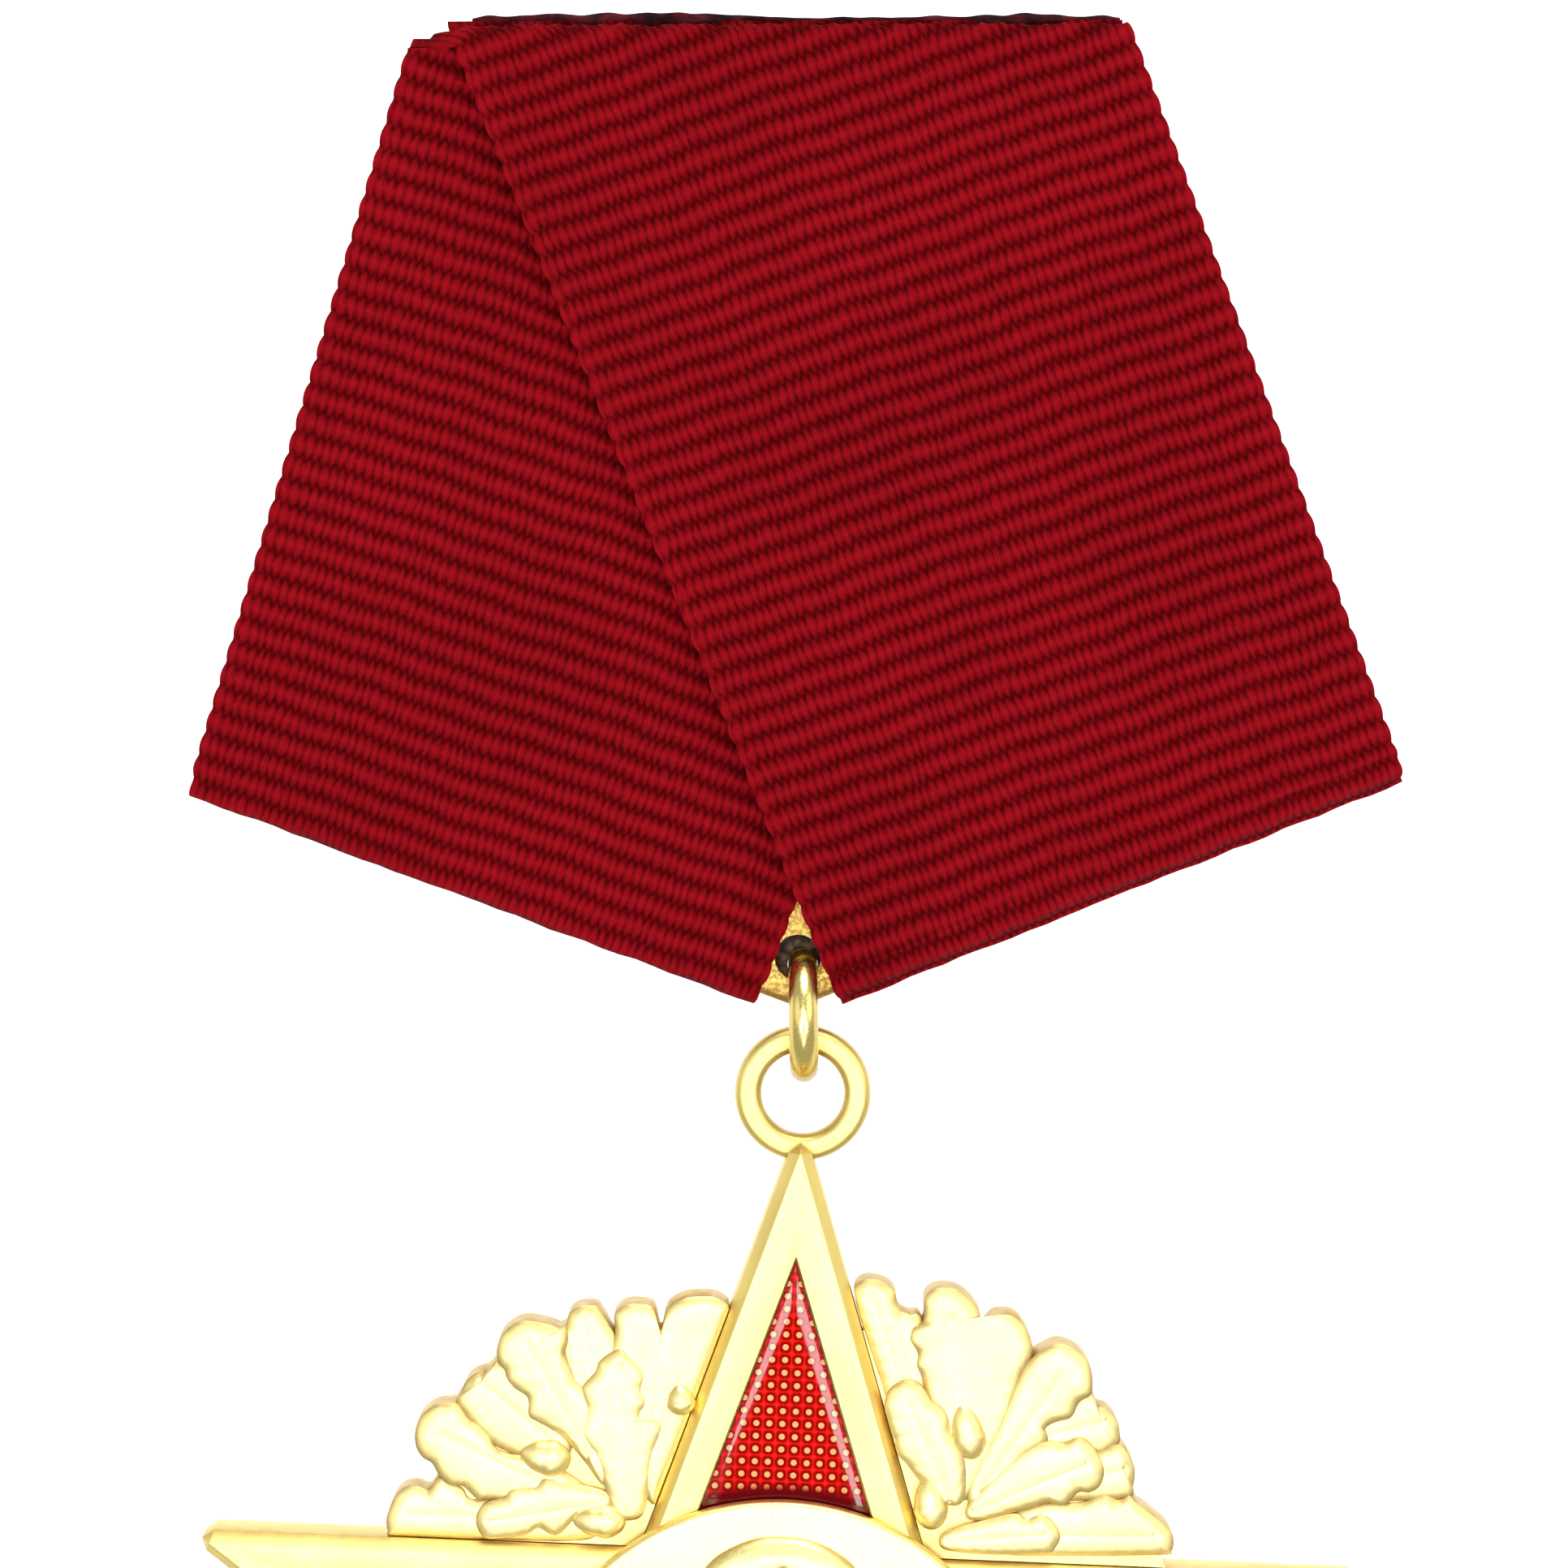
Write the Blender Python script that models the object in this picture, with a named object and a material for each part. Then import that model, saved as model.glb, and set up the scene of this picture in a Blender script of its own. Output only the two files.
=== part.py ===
"""Service medal: enamelled star hung by a ring from a folded ribbon, with a pin behind. Lengths in mm."""

import math

import bmesh
import bpy
from mathutils import Matrix, Vector

MM = 0.001
GAP = 0.1

# Ribbon and plate, seen from the front. The needle's middle is the origin.
PLATE_Y = -4.0
PLATE_THICK = 0.8
RIBBON_THICK = 0.45
RIBBON_WIDTH = 25.0
NOTCH_HALF = 1.8
NOTCH_Z = -30.57
LOWER_EDGE_DEG = 21.1
FOLD_Z = 9.5
LEFT_TOP = (-15.1, 13.0)
RIGHT_TOP = (-14.0, 13.7)
LEFT_LAYER = PLATE_THICK / 2 + GAP + RIBBON_THICK / 2
RIGHT_LAYER = LEFT_LAYER + RIBBON_THICK + GAP
FOLD_STEPS = 6
BEAD_RADIUS = 0.34
BEAD_Z = 10.15
BEAD_X = (-12.6, 13.6)

PLATE_APEX_Z = NOTCH_Z - 0.11
PLATE_EDGE = 25.6
PLATE_TOP_HALF = 12.6
PLATE_TOP_Z = 9.2
HOLE_Z = NOTCH_Z + 2.02
HOLE_RADIUS = 0.95

# Brooch bar, hinge and catch behind the ribbon.
BAR_BACK = -1.7
BAR_THICK = 0.7
BAR_HALF_LENGTH = 16.6
BAR_HALF_HEIGHT = 2.2
RIVET_X = 6.0
RIVET_RADIUS = 0.75
RIVET_HEAD = 1.3
HINGE_X = -15.0
HINGE_RIVET_RADIUS = 0.45
EYE_INNER = 0.55
EYE_OUTER = 1.05
EYE_HALF = 0.5
EAR_NEAR = 0.6
EAR_FAR = 1.1
EAR_ROOT = -1.2
EAR_REACH = (1.2, 1.1)
NEEDLE_RADIUS = 0.4
NEEDLE_TIP_X = 16.9
CATCH_X = (12.6, 15.2)
CATCH_INNER = 1.25
CATCH_OUTER = 1.6
CATCH_OPEN_DEG = 42.0
CATCH_FOOT_DEG = 130.0
CATCH_FOOT = 1.5
ROLLER_OUTER = 1.15
ROLLER_INNER = 0.62
ROLLER_SLOT_HALF = 0.52
ROLLER_X = (12.4, 16.0)
TAB_X = (15.35, 16.0)
TAB_DEG = (-78.0, -46.0)
TAB_RADIUS = 2.5

# Jump ring and star.
RING_RADIUS = 2.2
RING_WIRE = 0.6
RING_X = 0.2
RING_PIVOT = 0.6
RING_TOP_Z = HOLE_Z - HOLE_RADIUS + GAP + RING_WIRE
RING_Z = RING_TOP_Z - RING_RADIUS
PIVOT_Z = RING_Z - RING_RADIUS
EYELET_RADIUS = 2.275
EYELET_WIRE = 0.525
EYELET_DROP = EYELET_RADIUS - EYELET_WIRE - RING_WIRE - GAP
STAR_LEAN_DEG = 3.13
EYELET_RISE = 27.52
STAR_DROP = EYELET_DROP + EYELET_RISE
STAR_TIP = 26.6
STAR_BLUNT = 25.3
STAR_INNER = STAR_TIP * math.sin(math.radians(18)) / math.sin(math.radians(54))
STAR_FRONT = -1.5
STAR_BACK = 0.9
BEVEL_WIDTH = 0.42
BEVEL_DEPTH = 0.5
POCKET_APEX = 20.86
POCKET_BASE = 9.5
POCKET_HALF_DEG = 18.6
POCKET_FLOOR = -0.85
ENAMEL_FRONT = -1.38
DISC_RADIUS = 10.65
DISC_THICK = 0.6
EMBLEM_THICK = 0.75
STUD_RADIUS = 1.25
STUD_HEAD = 2.3
STUD_SINK = 0.7
LEAF_BACK = 0.7
LEAF_FRONT = -0.95
ROUND_STEPS = 20

# Oak sprays between the arms, as outlines about the star's centre.
SPRAY_A = [
    (-2.73, 18.63), (-3.33, 18.94), (-4.0, 18.95), (-4.67, 18.81), (-5.26, 18.38), (-5.49, 17.48),
    (-5.8, 18.35), (-6.35, 18.51), (-7.01, 18.44), (-7.44, 18.09), (-7.63, 17.6), (-7.95, 18.06),
    (-8.19, 18.33), (-8.87, 18.3), (-9.29, 18.0), (-9.45, 17.45), (-9.68, 17.34), (-10.08, 17.49),
    (-11.04, 17.62), (-11.63, 17.42), (-12.09, 16.96), (-12.27, 16.27), (-12.19, 15.83),
    (-12.65, 15.46), (-13.14, 15.27), (-13.47, 14.95), (-13.69, 14.46), (-13.87, 14.04),
    (-14.28, 13.99), (-14.78, 13.87), (-15.27, 13.47), (-15.52, 12.87), (-15.5, 12.19),
    (-15.21, 11.68), (-14.79, 11.43), (-14.51, 10.92), (-14.89, 10.35), (-15.34, 10.4),
    (-15.84, 10.34), (-16.23, 10.02), (-16.49, 9.49), (-16.61, 8.86), (-16.52, 8.36), (-6.06, 8.34),
]
LEAVES_A = [
    (-1.32, [
        (-7.18, 16.62), (-7.94, 16.11), (-8.15, 15.59), (-8.64, 14.98), (-8.65, 14.54), (-8.5, 14.03),
        (-8.77, 13.16), (-8.55, 12.65), (-8.04, 11.91), (-7.57, 10.8), (-7.09, 10.06), (-6.17, 10.08),
        (-5.7, 10.87), (-5.55, 12.26), (-5.4, 13.54), (-5.98, 13.62), (-6.16, 13.89), (-5.91, 14.42),
        (-6.13, 14.92), (-6.02, 15.4), (-6.24, 15.94), (-6.77, 16.44),
    ]),
    (-1.25, [
        (-12.77, 9.54), (-12.85, 9.03), (-12.66, 8.64), (-12.31, 8.41), (-11.37, 8.48), (-10.7, 8.63),
        (-10.23, 8.9), (-9.68, 8.64), (-9.28, 8.76), (-8.53, 9.52), (-7.99, 9.89), (-8.05, 10.51),
        (-8.92, 10.88), (-9.42, 10.93), (-10.05, 11.04), (-10.44, 10.71), (-11.38, 10.57),
        (-11.7, 10.17), (-12.44, 9.9),
    ]),
]
ACORNS_A = [(-10.01, 11.90, 1.0, 0.73, 8.0)]
SPRAY_B = [
    (2.49, 19.39), (2.72, 19.81), (3.22, 19.94), (3.8, 19.79), (4.18, 19.46), (4.35, 18.79),
    (4.8, 18.53), (5.19, 18.82), (5.37, 19.31), (5.76, 19.64), (6.26, 19.73), (6.77, 19.67),
    (7.29, 19.33), (7.73, 18.76), (7.86, 18.12), (8.24, 18.61), (8.67, 18.73), (9.18, 18.68),
    (9.6, 18.29), (9.9, 17.72), (10.0, 17.11), (10.43, 17.3), (10.92, 17.56), (11.44, 17.55),
    (11.95, 17.29), (12.38, 16.79), (12.55, 16.12), (12.51, 15.5), (12.81, 15.03), (13.25, 14.88),
    (13.64, 14.45), (13.8, 13.94), (13.76, 13.49), (14.19, 13.09), (14.49, 12.42), (14.48, 11.73),
    (14.34, 11.28), (14.62, 11.04), (15.33, 10.56), (16.04, 9.97), (16.26, 9.46), (16.19, 8.87),
    (16.03, 8.78), (13.51, 8.34), (6.06, 8.34),
]
LEAVES_B = [
    (-1.32, [
        (4.75, 15.79), (4.26, 15.53), (4.0, 15.07), (3.99, 14.9), (4.55, 13.17), (4.95, 12.76),
        (5.47, 12.36), (5.99, 12.06), (6.48, 11.76), (7.15, 11.88), (7.16, 12.45), (6.71, 13.64),
        (6.6, 14.32), (6.32, 14.73), (5.9, 14.98), (5.62, 15.41), (5.27, 15.75),
    ]),
    (-1.2, [
        (12.28, 16.11), (12.3, 15.5), (12.05, 15.17), (11.74, 14.51), (11.08, 14.27), (10.69, 13.98),
        (10.85, 13.47), (11.46, 13.43), (12.12, 13.69), (12.65, 13.37), (13.09, 12.71), (13.21, 12.2),
        (13.06, 11.67), (12.64, 11.38), (12.17, 11.36), (11.65, 10.81), (10.9, 10.89), (10.41, 10.7),
        (9.78, 10.58), (8.66, 10.67), (8.73, 11.81), (9.0, 13.56), (9.71, 15.99), (10.28, 16.67),
        (10.94, 17.15), (11.55, 17.16), (12.06, 16.81),
    ]),
    (-1.27, [
        (9.68, 10.32), (10.08, 10.16), (10.59, 10.29), (11.0, 10.24), (11.35, 9.88), (11.51, 9.44),
        (11.33, 9.06), (10.93, 8.85), (8.63, 8.78), (7.07, 8.88), (6.86, 9.23), (7.26, 9.63),
        (8.23, 10.02),
    ]),
]
ACORNS_B = [(6.17, 10.41, 1.0, 0.64, 100.0)]
# Half outline of the emblem's oak leaf, from tip to stalk.
EMBLEM_HALF = [
    (0.0, 9.2), (1.1, 9.1), (2.1, 8.7), (2.95, 8.1), (3.5, 7.25), (3.55, 6.3), (3.1, 5.45), (2.3, 4.9),
    (3.4, 4.65), (4.7, 3.95), (5.2, 2.8), (4.75, 1.65), (3.5, 0.95), (2.4, 0.7), (3.4, 0.2), (4.4, -0.7),
    (4.5, -1.8), (3.7, -2.8), (2.2, -3.2), (2.7, -3.85), (2.95, -4.8), (2.4, -5.75), (1.2, -6.2),
    (0.65, -6.9), (0.5, -8.4),
]

COLOURS = {
    "ribbon": ((0.28, 0.006, 0.014), 0.0, 0.85),
    "char": ((0.03, 0.01, 0.01), 0.0, 0.5),
    "plate": ((0.6, 0.42, 0.12), 1.0, 0.55),
    "gold": ((0.85, 0.66, 0.26), 1.0, 0.3),
    "steel": ((0.62, 0.62, 0.6), 1.0, 0.3),
    "enamel": ((0.42, 0.005, 0.012), 0.0, 0.08),
}


def clear_scene():
    for obj in list(bpy.data.objects):
        bpy.data.objects.remove(obj)


def material(name):
    found = bpy.data.materials.get(name)
    if found:
        return found
    made = bpy.data.materials.new(name)
    made.use_nodes = True
    colour, metal, rough = COLOURS[name]
    shader = made.node_tree.nodes["Principled BSDF"]
    shader.inputs["Base Color"].default_value = (*colour, 1.0)
    shader.inputs["Metallic"].default_value = metal
    shader.inputs["Roughness"].default_value = rough
    return made


def solid(name, points, faces, look, parent=None):
    """A closed mesh object from points in mm."""
    mesh = bpy.data.meshes.new(name)
    mesh.from_pydata([Vector(p) * MM for p in points], [], faces)
    bm = bmesh.new()
    bm.from_mesh(mesh)
    bmesh.ops.recalc_face_normals(bm, faces=bm.faces)
    bm.to_mesh(mesh)
    bm.free()
    obj = bpy.data.objects.new(name, mesh)
    bpy.context.scene.collection.objects.link(obj)
    if look:
        mesh.materials.append(material(look))
    else:
        obj.hide_render = True
        obj.display_type = "WIRE"
    obj.parent = parent
    return obj


def joint_frame(name, place, lean=0.0):
    """An empty on a joint's axis, which carries the pieces that move with it."""
    empty = bpy.data.objects.new(name, None)
    bpy.context.scene.collection.objects.link(empty)
    empty.location = Vector(place) * MM
    empty.rotation_euler = (0.0, lean, 0.0)
    return empty


def to_space(axis, u, v, w):
    """A point of an outline (u, v) pushed w along an axis."""
    return {"x": (w, u, v), "y": (u, w, v), "z": (u, v, w)}[axis]


def layers(name, rings, axis, look, parent=None):
    """A solid through outlines of equal length, given as (height, outline)."""
    count = len(rings[0][1])
    points = [to_space(axis, u, v, w) for w, ring in rings for u, v in ring]
    faces = [list(range(count))]
    for level in range(len(rings) - 1):
        base = level * count
        for i in range(count):
            j = (i + 1) % count
            faces.append([base + i, base + j, base + count + j, base + count + i])
    faces.append(list(range((len(rings) - 1) * count, len(rings) * count)))
    return solid(name, points, faces, look, parent)


def prism(name, outline, low, high, axis, look, parent=None):
    return layers(name, [(low, outline), (high, outline)], axis, look, parent)


def circle(radius, centre=(0.0, 0.0), steps=ROUND_STEPS):
    turns = [2 * math.pi * i / steps for i in range(steps)]
    return [(centre[0] + radius * math.cos(t), centre[1] + radius * math.sin(t)) for t in turns]


def arc(radius, start, end, steps=10):
    """Points of an arc about the origin, angles in degrees."""
    turns = [math.radians(start + (end - start) * i / steps) for i in range(steps + 1)]
    return [(radius * math.cos(t), radius * math.sin(t)) for t in turns]


def torus(name, centre, radius, wire, axis, look, parent=None, turns=28, sides=10):
    points = []
    for i in range(turns):
        t = 2 * math.pi * i / turns
        for k in range(sides):
            s = 2 * math.pi * k / sides
            out = radius + wire * math.cos(s)
            local = to_space(axis, out * math.cos(t), out * math.sin(t), wire * math.sin(s))
            points.append([c + p for c, p in zip(centre, local)])
    faces = []
    for i in range(turns):
        for k in range(sides):
            a, b = i * sides, ((i + 1) % turns) * sides
            m = (k + 1) % sides
            faces.append([a + k, a + m, b + m, b + k])
    return solid(name, points, faces, look, parent)


def ball(name, centre, sizes, tilt, parent=None, turns=12, rows=6):
    """An ellipsoid in the XZ plane, turned by tilt degrees."""
    spin = Matrix.Rotation(math.radians(-tilt), 3, "Y")
    shape = [(0.0, 0.0, sizes[2])]
    for j in range(1, rows):
        polar = math.pi * j / rows
        for i in range(turns):
            t = 2 * math.pi * i / turns
            flat = math.sin(polar)
            shape.append((sizes[0] * flat * math.cos(t), sizes[1] * flat * math.sin(t),
                          sizes[2] * math.cos(polar)))
    shape.append((0.0, 0.0, -sizes[2]))
    points = [Vector(centre) + spin @ Vector((a, c, b)) for a, b, c in shape]
    last = len(points) - 1
    faces = []
    for i in range(turns):
        j = (i + 1) % turns
        faces.append([0, 1 + i, 1 + j])
        for row in range(rows - 2):
            a = 1 + row * turns
            faces.append([a + i, a + turns + i, a + turns + j, a + j])
        end = 1 + (rows - 2) * turns
        faces.append([end + i, last, end + j])
    return solid(name, points, faces, None, parent)


def boolean(obj, other, operation):
    modifier = obj.modifiers.new(other.name, "BOOLEAN")
    modifier.operation = operation
    modifier.solver = "EXACT"
    modifier.object = other


def cut_round(obj, name, centre, radius, low, high, axis, parent=None):
    cutter = prism(name, circle(radius, centre), low, high, axis, None, parent)
    boolean(obj, cutter, "DIFFERENCE")


def turned(outline, degrees):
    """An outline turned anticlockwise as seen from the front."""
    c, s = math.cos(math.radians(degrees)), math.sin(math.radians(degrees))
    return [(x * c - z * s, x * s + z * c) for x, z in outline]


def dropped(outline):
    """An outline about the star's centre moved into the star's hanging frame."""
    return [(x, z - STAR_DROP) for x, z in outline]


def lower_line(side):
    """Left and right ends of one band's lower fold line."""
    rise = math.radians(LOWER_EDGE_DEG)
    inner = (side * NOTCH_HALF, NOTCH_Z)
    outer = (inner[0] + side * RIBBON_WIDTH * math.cos(rise), NOTCH_Z + RIBBON_WIDTH * math.sin(rise))
    return (outer, inner) if side < 0 else (inner, outer)


def band_fold(side, layer):
    """Strip stations round the plate's lower edge, from the back to the front."""
    rise = math.radians(LOWER_EDGE_DEG)
    up = Vector((-side * math.sin(rise), math.cos(rise)))
    reach = layer + RIBBON_THICK / 2
    stations = []
    for i in range(FOLD_STEPS + 1):
        t = math.pi * i / FOLD_STEPS
        lift = reach - layer * math.sin(t)
        ends = [Vector(end) + up * lift for end in lower_line(side)]
        normal = (-up[0] * math.sin(t), math.cos(t), -up[1] * math.sin(t))
        stations.append((ends, PLATE_Y + layer * math.cos(t), normal))
    return stations


def top_fold():
    """Strip stations of the fold over the top, from the left band to the right one."""
    turn = (RIGHT_LAYER - LEFT_LAYER) / 2
    middle = PLATE_Y - (LEFT_LAYER + RIGHT_LAYER) / 2
    stations = []
    for i in range(FOLD_STEPS + 1):
        t = math.pi * i / FOLD_STEPS
        part = i / FOLD_STEPS
        z = FOLD_Z + turn * math.sin(t)
        ends = [Vector((a + (b - a) * part, z)) for a, b in zip(LEFT_TOP, RIGHT_TOP)]
        normal = (0.0, -math.cos(t), -math.sin(t))
        stations.append((ends, middle + turn * math.cos(t), normal))
    return stations


def tail_end(top, layer):
    ends = [Vector((x, FOLD_Z)) for x in top]
    return [(ends, PLATE_Y + layer, (0.0, 1.0, 0.0))]


def make_ribbon():
    right = [(ends, y, tuple(-n for n in normal)) for ends, y, normal in reversed(band_fold(1, RIGHT_LAYER))]
    back_end = tail_end(RIGHT_TOP, RIGHT_LAYER)
    right += [(ends, y, (0.0, -1.0, 0.0)) for ends, y, normal in back_end]
    stations = tail_end(LEFT_TOP, LEFT_LAYER) + band_fold(-1, LEFT_LAYER) + top_fold() + right
    points = []
    for ends, y, normal in stations:
        off = Vector(normal) * RIBBON_THICK / 2
        low, high = [Vector((end[0], y, end[1])) for end in ends]
        points += [low + off, high + off, high - off, low - off]
    faces = [[0, 1, 2, 3]]
    for i in range(len(stations) - 1):
        for k in range(4):
            m = (k + 1) % 4
            faces.append([4 * i + k, 4 * i + m, 4 * i + 4 + m, 4 * i + 4 + k])
    last = 4 * (len(stations) - 1)
    faces.append([last, last + 1, last + 2, last + 3])
    ribbon = solid("ribbon", points, faces, "ribbon")
    for name, x in (("left", -RIVET_X), ("right", RIVET_X)):
        cut_round(ribbon, f"ribbon_hole_{name}", (x, 0.0), RIVET_RADIUS + GAP, PLATE_Y + 0.45,
                  BAR_BACK, "y")


def make_bead():
    steps = 9
    rings = []
    for i in range(steps + 1):
        x = BEAD_X[0] + (BEAD_X[1] - BEAD_X[0]) * i / steps
        swell = BEAD_RADIUS * (1.0 + 0.18 * math.sin(2.6 * i + 0.6))
        if i in (0, steps):
            swell = BEAD_RADIUS * 0.6
        rings.append((x, circle(swell, (PLATE_Y + RIGHT_LAYER, BEAD_Z), 8)))
    layers("ribbon_end_bead", rings, "x", "char")


def plate_outline(edge):
    """Outline of the plate with its two lower edges moved inwards by edge."""
    rise = math.radians(LOWER_EDGE_DEG)
    lift = edge / math.cos(rise)
    corner = (PLATE_EDGE * math.cos(rise), PLATE_APEX_Z + PLATE_EDGE * math.sin(rise) + lift)
    return [(0.0, PLATE_APEX_Z + lift), corner, (PLATE_TOP_HALF, PLATE_TOP_Z),
            (-PLATE_TOP_HALF, PLATE_TOP_Z), (-corner[0], corner[1])]


def make_plate():
    half = PLATE_THICK / 2
    rings = []
    for i in range(7):
        t = math.pi * i / 6
        rings.append((PLATE_Y - half * math.cos(t), plate_outline(half * (1 - math.sin(t)))))
    plate = layers("mount_plate", rings, "y", "plate")
    low, high = PLATE_Y - 1.0, PLATE_Y + 1.0
    cut_round(plate, "ring_hole", (0.0, HOLE_Z), HOLE_RADIUS, low, high, "y")
    for name, x in (("left", -RIVET_X), ("right", RIVET_X)):
        cut_round(plate, f"plate_hole_{name}", (x, 0.0), RIVET_RADIUS + GAP, low, high, "y")


def make_bar():
    length, height, corner = BAR_HALF_LENGTH, BAR_HALF_HEIGHT, 0.7
    outline = [(length - corner, -height), (length, -height + corner), (length, height - corner),
               (length - corner, height)]
    outline += [(-x, z) for x, z in reversed(outline)]
    bar = prism("pin_bar", outline, BAR_BACK - BAR_THICK, BAR_BACK, "y", "gold")
    for name, x in (("left", -RIVET_X), ("right", RIVET_X)):
        cut_round(bar, f"bar_hole_{name}", (x, 0.0), RIVET_RADIUS + GAP, BAR_BACK - 2, BAR_BACK + 2, "y")
        shank = circle(RIVET_RADIUS, (x, 0.0))
        head = circle(RIVET_HEAD, (x, 0.0))
        dome = circle(RIVET_HEAD * 0.7, (x, 0.0))
        base = BAR_BACK + GAP / 2
        rings = [(PLATE_Y - PLATE_THICK / 2, shank), (base, shank), (base, head), (base + 0.25, head),
                 (base + 0.5, dome)]
        layers(f"pin_rivet_{name}", rings, "y", "gold")


def make_hinge():
    base, top = BAR_BACK + GAP / 2, EYE_OUTER
    ears = [(base, -EAR_FAR), (top, -EAR_FAR), (top, -EAR_NEAR), (EAR_ROOT, -EAR_NEAR), (EAR_ROOT, EAR_NEAR),
            (top, EAR_NEAR), (top, EAR_FAR), (base, EAR_FAR)]
    bracket = prism("hinge_bracket", ears, HINGE_X - EAR_REACH[0], HINGE_X + EAR_REACH[1], "x", "gold")
    cut_round(bracket, "ear_hole", (HINGE_X, 0.0), HINGE_RIVET_RADIUS + GAP, -2, 2, "z")
    spot = (HINGE_X, 0.0)
    shank = circle(HINGE_RIVET_RADIUS, spot)
    head = circle(0.8, spot)
    inner = EAR_FAR + GAP / 2
    rings = [(-inner - 0.25, head), (-inner, head), (-inner, shank), (inner, shank), (inner, head),
             (inner + 0.25, head)]
    layers("hinge_rivet", rings, "z", "steel")


def make_needle():
    frame = joint_frame("needle_hinge", (HINGE_X, 0.0, 0.0))
    needle = prism("needle", circle(EYE_OUTER), -EYE_HALF, EYE_HALF, "z", "steel", frame)
    reach = NEEDLE_TIP_X - HINGE_X
    rings = [(0.8, circle(NEEDLE_RADIUS, steps=12)), (reach - 4.0, circle(NEEDLE_RADIUS, steps=12)),
             (reach - 0.3, circle(0.12, steps=12)), (reach, circle(0.04, steps=12))]
    shaft = layers("needle_shaft", rings, "x", None, frame)
    boolean(needle, shaft, "UNION")
    cut_round(needle, "needle_eye", (0.0, 0.0), EYE_INNER, -2, 2, "z", frame)


def make_catch():
    base = BAR_BACK + GAP / 2
    outer = arc(CATCH_OUTER, CATCH_OPEN_DEG, CATCH_FOOT_DEG)
    foot = [(base + 0.05, CATCH_FOOT), (base, CATCH_FOOT), (base, -CATCH_FOOT), (base + 0.05, -CATCH_FOOT)]
    outline = outer + foot + [(y, -z) for y, z in reversed(outer)]
    outline += arc(CATCH_INNER, -CATCH_OPEN_DEG, CATCH_OPEN_DEG - 360, 24)
    prism("catch_body", outline, *CATCH_X, "x", "gold")
    frame = joint_frame("catch_turn", (0.0, 0.0, 0.0))
    outside = math.degrees(math.asin(ROLLER_SLOT_HALF / ROLLER_OUTER))
    inside = math.degrees(math.asin(ROLLER_SLOT_HALF / ROLLER_INNER))
    sleeve = arc(ROLLER_OUTER, outside, 360 - outside, 24) + arc(ROLLER_INNER, 360 - inside, inside, 18)
    roller = prism("catch_roller", sleeve, *ROLLER_X, "x", "gold", frame)
    tab = arc(0.9, *TAB_DEG, 3) + arc(TAB_RADIUS, *reversed(TAB_DEG), 4)
    boolean(roller, prism("roller_tab", tab, TAB_X[0], TAB_X[1] + 0.05, "x", None, frame), "UNION")


def make_ring():
    frame = joint_frame("ring_swing", (RING_X, PLATE_Y, HOLE_Z - HOLE_RADIUS - RING_PIVOT))
    rise = RING_Z - (HOLE_Z - HOLE_RADIUS - RING_PIVOT)
    torus("jump_ring", (0.0, 0.0, rise), RING_RADIUS, RING_WIRE, "x", "gold", frame)


def star_outline(inset):
    """Corners of the star with blunt tips, moved inwards by inset."""
    outer = STAR_TIP - inset / math.sin(math.radians(18))
    inner = STAR_INNER - inset / math.sin(math.radians(126))
    end = min(STAR_BLUNT, outer - 0.1)
    half = (outer - end) * math.tan(math.radians(18))
    points = []
    for i in range(5):
        tip = [(half, end), (-half, end)]
        notch = (inner * math.cos(math.radians(126)), inner * math.sin(math.radians(126)))
        points += turned(tip + [notch], 72 * i)
    return points


def pocket_outline(inset):
    """One enamel field on the top arm, moved inwards by inset."""
    half = math.radians(POCKET_HALF_DEG)
    apex = POCKET_APEX - inset / math.sin(half)
    base = POCKET_BASE + inset
    width = (apex - base) * math.tan(half)
    return [(0.0, apex), (-width, base), (width, base)]


def make_star(frame):
    rings = [(STAR_BACK, dropped(star_outline(0.0))),
             (STAR_FRONT + BEVEL_DEPTH, dropped(star_outline(0.0))),
             (STAR_FRONT, dropped(star_outline(BEVEL_WIDTH)))]
    star = layers("star_body", rings, "y", "gold", frame)
    names = ("top", "left", "lower_left", "lower_right", "right")
    for i, name in enumerate(names):
        pocket = dropped(turned(pocket_outline(0.0), 72 * i))
        cutter = prism(f"pocket_{name}", pocket, POCKET_FLOOR, STAR_FRONT - 1, "y", None, frame)
        boolean(star, cutter, "DIFFERENCE")
        glass = dropped(turned(pocket_outline(GAP * 0.6), 72 * i))
        prism(f"enamel_{name}", glass, POCKET_FLOOR - GAP * 0.6, ENAMEL_FRONT, "y", "enamel", frame)
    middle = (0.0, -STAR_DROP)
    cut_round(star, "stud_hole", middle, STUD_RADIUS + GAP, -5, 5, "y", frame)
    cut_round(star, "stud_seat", middle, STUD_HEAD + GAP, STAR_BACK - STUD_SINK, 5, "y", frame)
    loop = EYELET_RADIUS + EYELET_WIRE + GAP
    cut_round(star, "eyelet_seat", (0.0, -EYELET_DROP), loop, -EYELET_WIRE - GAP, 5, "y", frame)
    torus("star_eyelet", (0.0, 0.0, -EYELET_DROP), EYELET_RADIUS, EYELET_WIRE, "y", "gold", frame)


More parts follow.
